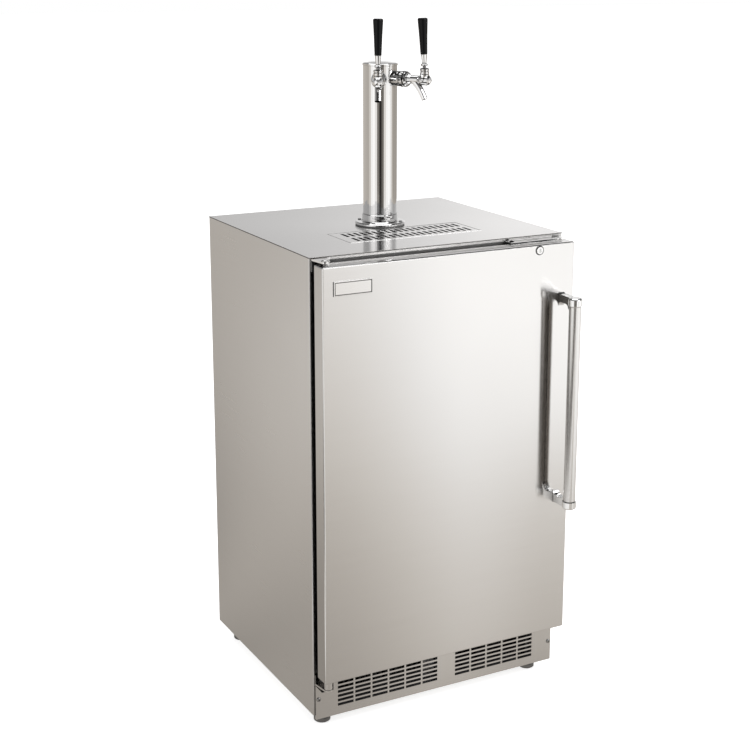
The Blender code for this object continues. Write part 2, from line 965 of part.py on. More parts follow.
def make_door(root, steel, foam, white, rubber, chrome):
    axis = carrier("door_hinge_axis", root, hinge_place)
    half = door_half
    radius = door_edge_radius
    shell = block((-half, door_face, door_bottom), (half, door_back + radius * 2, door_top))
    skin = piece("door_skin", shell, steel, axis)
    round_edges(skin, radius, 3, 80)
    combine(skin, block((-half_width, door_back, 0), (half_width, door_back + radius * 3, case_top)))
    inner_low = (-half + door_sheet, door_face + door_sheet, door_bottom + door_sheet)
    inner_high = (half - door_sheet, door_back, door_top - door_sheet)
    combine(skin, block(inner_low, (inner_high[0], door_back + overrun, inner_high[2])))

    combine(skin, door_bores())
    smooth(skin)

    fill_back = door_back - door_liner_sheet - fit_gap
    fill = piece(
        "door_insulation",
        block(
            tuple(c + fit_gap for c in inner_low),
            (inner_high[0] - fit_gap, fill_back, inner_high[2] - fit_gap),
        ),
        foam,
        axis,
    )
    combine(fill, door_bores())

    plate = block(
        (inner_low[0] + fit_gap, door_back - door_liner_sheet, inner_low[2] + fit_gap),
        (inner_high[0] - fit_gap, door_back, inner_high[2] - fit_gap),
    )
    back = piece("door_liner", plate, white, axis)
    plug_half = cavity_half - plug_side_gap
    plug_low = cavity_floor + plug_end_gap
    plug_high = cavity_top - plug_end_gap
    dyke = drafted_block(
        (-plug_half, plug_low),
        (plug_half, plug_high),
        door_back - door_liner_sheet / 2,
        plug_depth,
        -plug_draft,
    )
    combine(back, dyke, "UNION")
    recess = drafted_block(
        (-plug_half + plug_rim, plug_low + plug_rim),
        (plug_half - plug_rim, plug_high - plug_rim),
        door_back + plug_floor,
        plug_depth + overrun,
        plug_draft,
    )
    combine(back, recess)
    combine(back, lock_bore(door_face))

    piece("door_gasket", gasket_mesh(), rubber, axis)
    make_handle(axis, steel, chrome)
    make_lock(root, axis, chrome)


def drafted_block(low, high, start, stop, draft):
    """A block along Y, with its stated outline at the stop and less by the draft at the start."""
    shape = bmesh.new()
    rings = []
    for level, grow in ((start, -draft), (stop, 0)):
        corners = [
            (low[0] - grow, low[1] - grow),
            (high[0] + grow, low[1] - grow),
            (high[0] + grow, high[1] + grow),
            (low[0] - grow, high[1] + grow),
        ]
        rings.append([shape.verts.new((x, level, z)) for x, z in corners])
    return lofted(shape, rings)


def gasket_mesh():
    """A magnetic seal: a bulging tube section carried round the door with mitred corners."""
    half = door_half - gasket_side_inset
    low = door_bottom + gasket_end_inset
    high = door_top - gasket_end_inset
    rear = door_back + fit_gap
    front = -fit_gap
    depth = front - rear
    section = [(across * gasket_width, rear + along * depth) for across, along in gasket_section_shares]
    shape = bmesh.new()
    rings = []
    for side, level in ((-1, -1), (1, -1), (1, 1), (-1, 1)):
        ring = []
        for inset, y in section:
            x = side * (half - inset)
            z = low + inset if level < 0 else high - inset
            ring.append(shape.verts.new((x, y, z)))
        rings.append(ring)
    count = len(section)
    for corner in range(4):
        here = rings[corner]
        there = rings[(corner + 1) % 4]
        for index in range(count):
            after = (index + 1) % count
            shape.faces.new((here[index], here[after], there[after], there[index]))
    return mesh_of(shape)


def make_handle(axis, steel, chrome):
    bar_low = handle_low + cap_round
    bar_high = handle_high - cap_round
    place = (handle_x, handle_y, 0)
    rod = disc(handle_radius, bar_low, bar_high, handle_steps, centre=place)
    bar = piece("handle_bar", rod, steel, axis)
    smooth(bar)
    for side, level, name in ((1, handle_low, "lower"), (-1, handle_high, "upper")):
        end_round = cap_round / 2
        profile = [
            (0, level),
            (cap_radius - cap_round, level),
            (cap_radius - end_round / 2, level + side * end_round),
            (cap_radius, level + side * cap_round),
            (cap_radius, level + side * (cap_height - end_round)),
            (cap_radius - end_round, level + side * cap_height),
            (0, level + side * cap_height),
        ]
        cap = turned(profile, handle_steps, centre=place)
        bracket = piece("handle_bracket_" + name, cap, chrome, axis)
        middle = level + side * cap_height / 2
        near = handle_y + handle_radius / 2
        saddle = handle_y + cap_radius
        foot = door_face - fit_gap
        outer = middle - side * arm_height / 2
        inner = middle + side * arm_height / 2
        outline = [(foot, outer - side * arm_fillet / 4), (foot - arm_fillet / 4, outer), (near, outer)]
        outline.append((near, inner + side * arm_fillet))
        for y, z in arc((0, 0), arm_fillet, 180, 270, arc_steps):
            outline.append((saddle + arm_fillet + y, inner + side * (arm_fillet + z)))
        for y, z in arc((0, 0), arm_fillet, 270, 360, arc_steps):
            outline.append((foot - arm_fillet + y, inner + side * (arm_fillet + z)))
        half = arm_width / 2
        arm = loose(extruded(outline, handle_x - half, handle_x + half, "x"))
        round_edges(arm, arm_width / 4, 2, 60)
        combine(bracket, taken(arm), "UNION")
        combine(bracket, block((0, foot, 0), (half_width, 0, case_top)))
        socket = (handle_radius + fit_gap, bar_low - fit_gap, bar_high + fit_gap, handle_steps)
        combine(bracket, disc(*socket, centre=place))
        smooth(bracket)


def make_lock(root, axis, chrome):
    front = door_face - fit_gap - lock_ring
    rear = door_back + cam_gap / 3
    barrel = piece(
        "lock_barrel",
        turned(
            [
                (lock_plug_radius + fit_gap, front),
                (lock_ring_radius - lock_ring / 2, front),
                (lock_ring_radius, front + lock_ring / 2),
                (lock_ring_radius, door_face - fit_gap),
                (lock_barrel_radius, door_face - fit_gap),
                (lock_barrel_radius, rear),
                (lock_plug_radius + fit_gap, rear),
            ],
            handle_steps, "y", lock_place,
        ),
        chrome,
        axis,
    )
    smooth(barrel)
    key_axis = carrier("lock_axis", axis, lock_place - hinge_place)
    cam_low = door_back + cam_gap
    cam_high = cam_low + cam_sheet
    plug = piece(
        "lock_plug",
        turned(
            [
                (0, front + fit_gap),
                (lock_plug_radius, front + fit_gap),
                (lock_plug_radius, rear),
                (lock_tail_radius, rear),
                (lock_tail_radius, cam_high + cam_gap / 2),
                (0, cam_high + cam_gap / 2),
            ],
            round_steps, "y", lock_place,
        ),
        chrome,
        key_axis,
    )
    half = cam_width / 2
    nose = arc((lock_place.x + cam_length, lock_place.z), half, -90, 90, arc_steps)
    tail = arc((lock_place.x, lock_place.z), half, 90, 270, arc_steps)
    combine(plug, extruded(nose + tail, cam_low, cam_high, "y"), "UNION")
    tall = lock_plug_radius / 2
    key_slot = block(
        (lock_place.x - key_slot_width / 2, front - overrun, lock_place.z - tall),
        (lock_place.x + key_slot_width / 2, front + key_slot_depth, lock_place.z + tall),
    )
    combine(plug, key_slot)
    smooth(plug)

    plate_low = door_top + strike_above_door
    plate_high = plate_low + strike_sheet
    path = [
        (-strike_reach, plate_high),
        (-fit_gap, plate_high),
        (-fit_gap, plate_high - strike_flange),
    ]
    outline = bent_sheet(path[::-1], strike_sheet, strike_sheet * 3 / 2)
    strike_right = door_half - strike_from_edge
    bent = extruded(outline, strike_right - strike_length, strike_right, "x")
    strike = piece("lock_strike", bent, chrome, root)
    slot_y = (cam_low + cam_high) / 2
    slots = []
    first = lock_place.x - cam_width / 2 - fit_gap * 4
    spare = first + strike_spare_from_lock
    for left, length in ((first, strike_slot_length), (spare, strike_spare_length)):
        slots.append(
            block(
                (left, slot_y - strike_slot_width / 2, plate_low - overrun),
                (left + length, slot_y + strike_slot_width / 2, plate_high + overrun),
            )
        )
    combine(strike, join_shapes(slots))


def make_hinges(root, steel):
    left = -half_width + hinge_plate_inset
    right = left + hinge_plate_length
    x, y = hinge_place.x, hinge_place.y
    outline = [(right, -fit_gap), (left, -fit_gap)]
    outline += arc((x, y), hinge_nose_radius, 180, 360, sweep_steps)
    reach = right - x - hinge_nose_radius
    depth = -fit_gap - y
    for index in range(1, sweep_steps):
        angle = math.radians(90 * index / sweep_steps)
        outline.append((right - reach * math.cos(angle), y + depth * math.sin(angle)))
    upper_low = case_top - hinge_plate_drop - hinge_plate
    lower_low = door_bottom - hinge_lower_drop - hinge_plate
    places = (("upper", upper_low, -1, door_top), ("lower", lower_low, 1, door_bottom))
    for name, low, side, edge in places:
        high = low + hinge_plate
        plate = piece("hinge_plate_" + name, extruded(outline, low, high), steel, root)
        leg_low = low - hinge_leg if side < 0 else low
        leg_high = high if side < 0 else low + hinge_leg
        leg = block((left, -fit_gap - hinge_plate, leg_low), (right, -fit_gap, leg_high))
        combine(plate, leg, "UNION")
        bore = (hinge_pin_radius + fit_gap, low - overrun, high + overrun, round_steps)
        combine(plate, disc(*bore, centre=(x, y, 0)))
        smooth(plate)
        outer = high if side < 0 else low
        tip = edge + side * hinge_pin_reach
        head_start = outer - side * fit_gap
        head_end = head_start - side * hinge_head
        profile = [
            (0, head_end),
            (hinge_head_radius - hinge_head / 2, head_end),
            (hinge_head_radius, head_end + side * hinge_head / 2),
            (hinge_head_radius, head_start),
            (hinge_pin_radius, head_start),
        ]
        if side > 0:
            profile += [
                (hinge_pin_radius, high + fit_gap),
                (hinge_shoulder_radius, high + fit_gap),
                (hinge_shoulder_radius, edge - hinge_plate_drop),
                (hinge_pin_radius, edge - hinge_plate_drop),
            ]
        profile += [(hinge_pin_radius, tip), (0, tip)]
        pin = piece("hinge_pin_" + name, turned(profile, round_steps, centre=(x, y, 0)), steel, root)
        smooth(pin)


def make_tower(root, chrome, rubber):
    axis = carrier("tower_axis", root, (0, tower_y, 0))
    seal_low = case_top + fit_gap
    seal_high = seal_low + tower_gasket
    bore = column_radius + fit_gap
    seal = piece(
        "tower_gasket",
        turned(
            [
                (line_hole_radius, seal_low),
                (tower_gasket_radius, seal_low),
                (tower_gasket_radius, seal_high),
                (line_hole_radius, seal_high),
            ],
            column_segments,
        ),
        rubber,
        axis,
        local=True,
    )
    smooth(seal)
    low = seal_high + fit_gap
    plate_high = low + flange_plate
    sleeve_high = low + sleeve_height
    flange = piece(
        "tower_flange",
        turned(
            [
                (line_hole_radius, low),
                (flange_radius, low),
                (flange_radius, plate_high - flange_plate / 3),
                (flange_radius - flange_plate / 3, plate_high),
                (sleeve_radius + flange_plate / 3, plate_high),
                (sleeve_radius, plate_high + flange_plate / 3),
                (sleeve_radius, sleeve_high - fit_gap * 3),
                (sleeve_radius - fit_gap * 3, sleeve_high),
                (bore, sleeve_high),
                (bore, low + flange_plate / 2),
                (line_hole_radius, low + flange_plate / 2),
            ],
            column_segments,
        ),
        chrome,
        axis,
        local=True,
    )
    smooth(flange)
    column_low = low + flange_plate / 2 + fit_gap
    cap_high = case_top + tower_height
    rim_low = cap_high - tower_cap_dome - tower_cap_rim
    column_high = rim_low - fit_gap
    inside = column_radius - column_wall
    column = piece(
        "tower_column",
        turned(
            [
                (inside, column_low),
                (column_radius, column_low),
                (column_radius, column_high),
                (inside, column_high),
            ],
            column_segments,
        ),
        chrome,
        axis,
        local=True,
    )
    for side in (-1, 1):
        centre = (0, 0, faucet_height)
        hole = disc(shank_radius + fit_gap, shank_inner_end, collar_end, round_steps, "x", centre)
        turn = math.radians(side * faucet_spread - 90)
        for vert in hole.vertices:
            x, y, z = vert.co
            x, y = x * math.cos(turn) - y * math.sin(turn), x * math.sin(turn) + y * math.cos(turn)
            vert.co = (x, y, z)
        combine(column, hole)
    smooth(column)
    plug = inside - fit_gap
    rim_high = rim_low + tower_cap_rim
    dome = [(tower_cap_radius * out, rim_high + tower_cap_dome * up) for out, up in cap_dome_shares]
    cap = piece(
        "tower_cap",
        turned(
            [
                (0, column_high - tower_cap_plug + tower_cap_rim),
                (plug - column_wall, column_high - tower_cap_plug + tower_cap_rim),
                (plug - column_wall, column_high - tower_cap_plug),
                (plug, column_high - tower_cap_plug),
                (plug, rim_low),
                (tower_cap_radius, rim_low),
                (tower_cap_radius, rim_high - tower_cap_rim / 4),
                (tower_cap_radius - tower_cap_rim / 4, rim_high),
                *dome,
                (0, cap_high),
            ],
            column_segments,
        ),
        chrome,
        axis,
        local=True,
    )
    smooth(cap)


def make_faucet(root, side, name, chrome, steel, black):
    """One tap. Its carrier's X runs outward from the tower's axis along the faucet."""
    turn = math.radians(side * faucet_spread - 90)
    mount = carrier("faucet_axis_" + name, root, (0, tower_y, faucet_height), (0, 0, turn))

    shank = piece(
        "shank_" + name,
        turned(
            [
                (shank_bore * 3 / 4, nipple_inner_end),
                (nipple_radius + fit_gap, nipple_inner_end),
                (nipple_radius + fit_gap, shank_inner_end),
                (shank_radius, shank_inner_end),
                (shank_radius, shank_outer_end),
                (shank_bore * 3 / 4, shank_outer_end),
            ],
            round_steps, "x",
        ),
        steel,
        mount,
        local=True,
    )
    smooth(shank)

    collar = piece(
        "shank_collar_" + name,
        turned(
            [
                (shank_radius + fit_gap, column_radius - column_wall * 2),
                (collar_radius, column_radius - column_wall * 2),
                (collar_radius, collar_end - collar_lip - collar_slope),
                (collar_radius - collar_step, collar_end - fit_gap - collar_lip),
                (collar_radius - collar_step, collar_end - fit_gap),
                (shank_radius + fit_gap, collar_end - fit_gap),
            ],
            round_steps, "x",
        ),
        chrome,
        mount,
        local=True,
    )
    low = -collar_radius * 2
    combine(collar, disc(column_radius + fit_gap, low, -low, column_segments))
    smooth(collar)

    length = nut_end - collar_end
    outside = []
    for along, less in nut_profile_shares:
        outside.append((nut_radius - nut_chamfer * less, collar_end + length * along))
    nut = piece(
        "coupling_nut_" + name,
        turned(
            [
                (shank_radius + fit_gap, collar_end),
                *outside,
                (nut_bore, nut_end),
                (nut_bore, shank_outer_end),
                (shank_radius + fit_gap, shank_outer_end),
            ],
            round_steps, "x",
        ),
        chrome,
        mount,
        local=True,
    )
    notch_wide = 2 * math.pi * nut_radius / nut_notches * nut_notch_share
    notches = []
    for index in range(nut_notches):
        angle = 2 * math.pi * index / nut_notches
        notch = block(
            (collar_end - overrun, -notch_wide / 2, nut_radius - nut_notch_depth),
            (collar_end + length * nut_notch_length_share, notch_wide / 2, nut_radius + overrun),
        )
        for vert in notch.vertices:
            x, y, z = vert.co
            y, z = y * math.cos(angle) - z * math.sin(angle), y * math.sin(angle) + z * math.cos(angle)
            vert.co = (x, y, z)
        notches.append(notch)
    combine(nut, join_shapes(notches))
    smooth(nut)

    taper = nose_end - chamber_end
    nose = [(chamber_radius * out, chamber_end + taper * along) for out, along in nose_shares]
    body = piece(
        "faucet_body_" + name,
        turned(
            [
                (0, body_rear),
                (thread_radius, body_rear),
                (thread_radius, nut_end - fit_gap),
                (body_ring_radius, nut_end + fit_gap),
                (body_ring_radius, nut_end + body_ring),
                (barrel_radius, barrel_start),
                (barrel_radius, barrel_end),
                (chamber_radius, chamber_start),
                (chamber_radius, chamber_end),
                *nose,
                (0, nose_end),
            ],
            round_steps, "x",
        ),
        chrome,
        mount,
        local=True,
    )
    root_point = Vector((spout_root, 0, -spout_root_drop))
    bend_point = Vector((spout_bend, 0, -spout_bend_drop))
    tip_point = Vector((spout_tip, 0, -spout_tip_drop))
    flare = spout_root_radius - spout_radius
    path = []
    radii = []
    for index in range(spout_steps + 1):
        share = index / spout_steps
        rest = 1 - share
        path.append(root_point * rest ** 2 + bend_point * 2 * share * rest + tip_point * share ** 2)
        radii.append(spout_radius + flare * rest ** 2)
    combine(body, tube_along(path, radii, small_steps), "UNION")
    boss = turned(
        [
            (0, 0),
            (boss_shoulder_radius, 0),
            (boss_shoulder_radius, boss_shoulder - fit_gap),
            (boss_radius, boss_shoulder - fit_gap),
            (boss_radius, boss_top),
            (0, boss_top),
        ],
        round_steps,
        centre=(lever_reach, 0, 0),
    )
    combine(body, boss, "UNION")
    bore = disc(faucet_bore, body_rear - overrun, bore_end, small_steps, "x")
    well = disc(boss_bore, boss_shoulder / 2, boss_top + overrun, small_steps, centre=(lever_reach, 0, 0))
    slot_outline = [
        (lever_reach - slot_behind, 0),
        (lever_reach + slot_ahead, 0),
        (lever_reach + slot_ahead, boss_shoulder),
        (lever_reach - boss_bore, boss_shoulder),
        (lever_reach - slot_behind, boss_shoulder / 2),
    ]
    slot = extruded(slot_outline, -slot_half, slot_half, "y")
    run_on = (tip_point - bend_point).normalized() * overrun
    drain_path = [Vector((spout_root, 0, 0)), *path[1:], tip_point + run_on]
    drain = tube_along(drain_path, [spout_bore] * len(drain_path), drain_steps)
    for cutter in (bore, well, slot, drain):
        combine(body, cutter)
    smooth(body, 40)

    rise = bonnet_top - boss_shoulder
    outside = [(bonnet_radius * out, boss_shoulder + rise * up) for out, up in bonnet_profile_shares]
    bonnet = piece(
        "faucet_bonnet_" + name,
        turned(
            [
                (boss_radius + fit_gap, boss_shoulder),
                *outside,
                (bonnet_mouth, bonnet_top),
                (pivot_ball + ball_clearance, pivot_height + pivot_ball / 2),
                (boss_radius - bonnet_lip, pivot_height - bonnet_lip),
                (boss_radius - bonnet_lip, boss_top + fit_gap),
                (boss_radius + fit_gap, boss_top + fit_gap),
            ],
            round_steps,
            centre=(lever_reach, 0, 0),
        ),
        chrome,
        mount,
        local=True,
    )
    smooth(bonnet)

    lean = math.radians(lever_lean)
    pivot = carrier("lever_axis_" + name, mount, (lever_reach, 0, pivot_height), (0, -lean, 0))
    ball = []
    for degrees in ball_angles:
        angle = math.radians(degrees)
        ball.append((pivot_ball * math.cos(angle), pivot_ball * math.sin(angle)))
    finger_round = finger_ball * math.cos(math.pi / 4)
    finger_join = math.sqrt(finger_ball ** 2 - finger_neck ** 2)
    stem_join = math.sqrt(pivot_ball ** 2 - lever_stem ** 2)
    lever = piece(
        "tap_lever_" + name,
        turned(
            [
                (0, -finger_reach - finger_ball),
                (finger_round, -finger_reach - finger_round),
                (finger_ball, -finger_reach),
                (finger_neck, -finger_reach + finger_join),
                (finger_neck, -pivot_ball),
                *ball,
                (lever_stem, stem_join),
                (lever_stem, lever_collar_low),
                (lever_collar_radius - lever_collar_edge, lever_collar_low),
                (lever_collar_radius, lever_collar_low + lever_collar_edge),
                (lever_collar_radius, lever_collar_high - lever_collar_edge),
                (lever_collar_radius - lever_collar_edge, lever_collar_high),
                (ferrule_low_radius - ferrule_taper, lever_collar_high),
                (ferrule_low_radius, ferrule_low),
                (ferrule_high_radius, ferrule_high),
                (0, ferrule_high),
            ],
            lever_steps,
        ),
        chrome,
        pivot,
        local=True,
    )
    smooth(lever)
    knob_low = ferrule_high + fit_gap
    height = knob_high - knob_low
    outside = [(knob_radius * out, knob_low + height * up) for out, up in knob_profile_shares]
    knob = piece(
        "tap_handle_" + name,
        turned([(0, knob_low), *outside, (0, knob_high)], knob_steps),
        black,
        pivot,
        local=True,
    )
    smooth(knob)

    middle = lever_reach + finger_reach * math.sin(lean)
    shaft = piece(
        "faucet_shaft_" + name,
        turned(
            [
                (0, shaft_rear),
                (shaft_disc_radius, shaft_rear),
                (shaft_disc_radius, shaft_rear + shaft_disc),
                (shaft_radius, shaft_rear + shaft_disc),
                (shaft_radius, middle - fork_half),
                (shaft_disc_radius, middle - fork_half),
                (shaft_disc_radius, shaft_front),
                (0, shaft_front),
            ],
            small_steps, "x",
        ),
        steel,
        mount,
        local=True,
    )
    wide = shaft_disc_radius + overrun
    above = block((middle - fork_half - overrun, -wide, fork_top), (shaft_front + overrun, wide, wide))
    slot = block((middle - fork_slot_half, -wide, -fork_slot_floor), (middle + fork_slot_half, wide, wide))
    combine(shaft, above)
    combine(shaft, slot)


def make_machine(root, black, enamel, aluminium):
    base = pan_floor + fit_gap
    condenser_left = condenser_from_side - half_width
    condenser_right = condenser_left + condenser_width
    pitch = condenser_width / condenser_fins
    thick = pitch * fin_share
    core = condenser_height / 3
    outline = [(condenser_left, base), (condenser_right, base)]
    outline += [(condenser_right, base + condenser_height)]
    for index in range(condenser_fins - 1, 0, -1):
        x = condenser_left + pitch * index
        outline += [
            (x + pitch - thick, base + condenser_height),
            (x + pitch - thick, base + core),
            (x, base + core),
            (x, base + condenser_height),
        ]
    outline += [(condenser_left, base + condenser_height)]
    piece(
        "condenser_coil",
        extruded(outline, condenser_front, condenser_front + condenser_depth, "y"),
        aluminium,
        root,
    )

    fan_centre_x = fan_from_side - half_width
    fan_mount_y = hump_front + fan_behind_hump
    fan_z = pan_floor + fit_gap + fan_radius + fan_tip_gap + fan_frame * 2
    half = fan_radius + fan_tip_gap + fan_frame
    frame = piece(
        "condenser_fan_mount",
        block(
            (fan_centre_x - half, fan_mount_y, pan_floor + fit_gap),
            (fan_centre_x + half, fan_mount_y + fan_frame_depth, fan_z + half),
        ),
        black,
        root,
    )
    place = (fan_centre_x, 0, fan_z)
    rear = fan_mount_y + fan_frame_depth
    opening_radius = fan_radius + fan_tip_gap
    combine(frame, disc(opening_radius, fan_mount_y - overrun, rear + overrun, handle_steps, "y", place))
    motor = disc(fan_motor_radius, rear - fan_frame * 2, rear + fan_frame * 4, lever_steps, "y", place)
    spokes = []
    for wide, tall in ((half, fan_spoke_width / 2), (fan_spoke_width / 2, half)):
        spokes.append(
            block(
                (fan_centre_x - wide, rear - fan_frame, fan_z - tall),
                (fan_centre_x + wide, rear, fan_z + tall),
            )
        )
    for part in spokes + [motor]:
        combine(frame, part, "UNION")
    smooth(frame)
    axis = carrier("condenser_fan_axis", root, (fan_centre_x, 0, fan_z))
    blade_front = fan_mount_y + fan_frame
    blade_back = rear - fan_frame * 2 - fit_gap
    fan = piece("condenser_fan", fan_mesh(fan_radius, blade_front, blade_back), black, axis, local=True)
    smooth(fan)

    pump = piece("compressor", compressor_mesh(), enamel, root)
    smooth(pump, 50)


def fan_mesh(radius, front, back):
    """A hub with pitched blades, turning about Y through the origin."""
    hub = loose(disc(fan_hub_radius, front, back, round_steps, "y"))
    middle = (front + back) / 2
    pitch = math.radians(fan_pitch)
    chord = min((back - front) / math.sin(pitch), fan_hub_radius * 2) * blade_chord_share
    for index in range(fan_blades):
        angle = 2 * math.pi * index / fan_blades
        shape = bmesh.new()
        inner = fan_hub_radius * blade_root_share
        half = fan_blade_sheet / 2
        rings = []
        for share, wide, twist in blade_shares:
            reach = inner + (radius - inner) * share
            ring = []
            for across, off in ((-wide, -half), (wide, -half), (wide, half), (-wide, half)):
                slope = pitch * twist
                x = across * chord * math.cos(slope) - off * math.sin(slope)
                y = across * chord * math.sin(slope) + off * math.cos(slope)
                spot = Vector((x, 0, reach)).normalized() * reach
                ring.append(shape.verts.new((spot.x, middle + y, spot.z)))
            rings.append(ring)
        blade = lofted(shape, rings)
        for vert in blade.vertices:
            x, y, z = vert.co
            x, z = x * math.cos(angle) + z * math.sin(angle), z * math.cos(angle) - x * math.sin(angle)
            vert.co = (x, y, z)
        combine(hub, blade, "UNION")
    return taken(hub)


def compressor_mesh():
    """A hermetic compressor: a domed oval can with a weld seam, on a foot plate."""
    compressor_x = half_width - compressor_from_side
    compressor_y = case_depth - compressor_from_rear
    floor = pan_floor + fit_gap
    can_low = floor + compressor_foot
    shape = bmesh.new()
    rings = []
    for index, (share, size) in enumerate(can_shares):
        z = can_low + compressor_height * share
        grow = compressor_seam if index in seam_levels else 0
        ring = []
        for step in range(round_steps):
            angle = 2 * math.pi * step / round_steps
            across = math.copysign(abs(math.cos(angle)) ** can_square_share, math.cos(angle))
            along = math.copysign(abs(math.sin(angle)) ** can_square_share, math.sin(angle))
            x = compressor_x + across * (compressor_length / 2 * size + grow)
            y = compressor_y + along * (compressor_width / 2 * size + grow)
            ring.append(shape.verts.new((x, y, z)))
        rings.append(ring)
    can = loose(lofted(shape, rings))
    half = compressor_length / 2
    deep = compressor_width / 2
    plate = block(
        (compressor_x - half, compressor_y - deep, floor + compressor_foot - compressor_base_sheet),
        (compressor_x + half, compressor_y + deep, floor + compressor_foot + compressor_base_sheet),
    )
    combine(can, plate, "UNION")
    for x in (-half + compressor_foot, half - compressor_foot):
        for y in (-deep + compressor_foot, deep - compressor_foot):
            centre = (compressor_x + x, compressor_y + y, 0)
            pad = disc(compressor_pad_radius, floor, floor + compressor_foot, coarse_steps, centre=centre)
            combine(can, pad, "UNION")
    return taken(can)


def make_cavity_fittings(root, white, black):
    wall = cavity_back
    front = wall - air_cover_depth
    air_cover_half_width = cavity_half - air_cover_side_gap
    air_cover_high = cavity_top - air_cover_below_ceiling
    air_cover_low = air_cover_high - air_cover_height
    air_fan_height = cavity_top - air_fan_below_ceiling
    sheet = air_cover_sheet
    cover = piece(
        "evaporator_cover",
        block(
            (-air_cover_half_width, front, air_cover_low),
            (air_cover_half_width, wall - fit_gap, air_cover_high),
        ),
        white,
        root,
    )
    round_edges(cover, sheet, 1, 80)
    combine(
        cover,
        block(
            (-air_cover_half_width + sheet, front + sheet, air_cover_low + sheet),
            (air_cover_half_width - sheet, wall + overrun, air_cover_high - sheet),
        ),
    )
    place = (0, 0, air_fan_height)
    cuts = [disc(air_fan_radius, front - overrun, front + sheet + overrun, round_steps, "y", place)]
    for index in range(return_slots):
        low = air_cover_low + return_slot_pitch * (index + 1)
        for side in (-1, 1):
            middle = side * air_cover_half_width / 2
            half = return_slot_length / 2
            cuts.append(
                block(
                    (middle - half, front - overrun, low),
                    (middle + half, front + sheet + overrun, low + return_slot_height),
                )
            )
    combine(cover, join_shapes(cuts))
    reach = air_fan_radius + sheet
    bar = guard_bar / 2
    near = front + sheet / 8
    far = front + sheet * 7 / 8
    # Each part of the guard is a little thinner than the last, so that no two faces coincide.
    for wide, tall in ((reach, bar), (bar, reach)):
        spoke = block((-wide, near, air_fan_height - tall), (wide, far, air_fan_height + tall))
        combine(cover, spoke, "UNION")
        near += sheet / 16
        far -= sheet / 16
    combine(cover, disc(guard_boss_radius, front, front + guard_bar, round_steps, "y", place), "UNION")
    hoop_radius = air_fan_radius * 2 / 3
    hoop = [
        (hoop_radius - bar, near),
        (hoop_radius + bar, near),
        (hoop_radius + bar, far),
        (hoop_radius - bar, far),
    ]
    combine(cover, turned(hoop, round_steps, "y", place), "UNION")
    smooth(cover)
    axis = carrier("evaporator_fan_axis", root, (0, 0, air_fan_height))
    blade_front = front + guard_bar + fit_gap
    blade_back = wall - air_cover_depth / 4
    fan = piece(
        "evaporator_fan",
        fan_mesh(air_fan_radius - fan_tip_gap, blade_front, blade_back),
        black,
        axis,
        local=True,
    )
    smooth(fan)

    half = control_width / 2
    control_x = cavity_half - control_from_wall
    top = cavity_top - fit_gap
    housing = piece(
        "thermostat_housing",
        block(
            (control_x - half, control_front, top - control_height),
            (control_x + half, control_front + control_depth, top),
        ),
        white,
        root,
    )
    round_edges(housing, control_bevel, 2, 80)
    middle = top - control_height / 2
    place = (control_x, 0, middle)
    stub = control_front - dial_depth / 2
    spindle = disc(dial_radius / 4, stub, control_front + overrun, small_steps, "y", place)
    combine(housing, spindle, "UNION")
    smooth(housing)
    axis = carrier("thermostat_axis", root, place)
    front = control_front - fit_gap - dial_depth
    outside = [(dial_radius * out, front + dial_depth * along) for out, along in dial_profile_shares]
    dial = piece(
        "thermostat_knob",
        turned(
            [
                (0, front),
                *outside,
                (dial_radius / 4 + fit_gap, front + dial_depth),
                (dial_radius / 4 + fit_gap, front + dial_depth / 2 - fit_gap),
                (0, front + dial_depth / 2 - fit_gap),
            ],
            knob_steps, "y",
        ),
        black,
        axis,
        local=True,
    )
    smooth(dial)


def main():
    wipe_scene()
    steel = finish("brushed_steel", (0.60, 0.585, 0.57), 0.32, 1)
    galvanised = finish("galvanised_steel", (0.52, 0.53, 0.54), 0.45, 1)
    chrome = finish("polished_chrome", (0.80, 0.80, 0.80), 0.07, 1)
    white = finish("liner_plastic", (0.82, 0.83, 0.83), 0.4, 0)
    foam = finish("insulation_foam", (0.86, 0.79, 0.60), 0.9, 0)
    rubber = finish("grey_rubber", (0.07, 0.07, 0.07), 0.6, 0)
    black = finish("black_plastic", (0.012, 0.012, 0.013), 0.35, 0)
    enamel = finish("black_enamel", (0.02, 0.02, 0.02), 0.4, 0)
    aluminium = finish("fin_aluminium", (0.70, 0.71, 0.72), 0.4, 1)
    root = carrier("kegerator", None, (0, -depth_centre, 0))
    make_case(root, steel, galvanised, rubber)
    make_inside(root, white, foam, galvanised)
    make_drip_tray(root, steel)
    make_kick_grille(root, steel)
    make_feet(root, galvanised)
    make_hinges(root, steel)
    make_door(root, steel, foam, white, rubber, chrome)
    make_tower(root, chrome, rubber)
    for side, name in ((-1, "left"), (1, "right")):
        make_faucet(root, side, name, chrome, steel, black)
    make_machine(root, black, enamel, aluminium)
    make_cavity_fittings(root, white, black)


main()
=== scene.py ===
"""Looks for the two-tap kegerator: finishes, small fittings, floor, light and camera."""
import json
import math

import bmesh
import bpy
from mathutils import Euler, Matrix, Vector


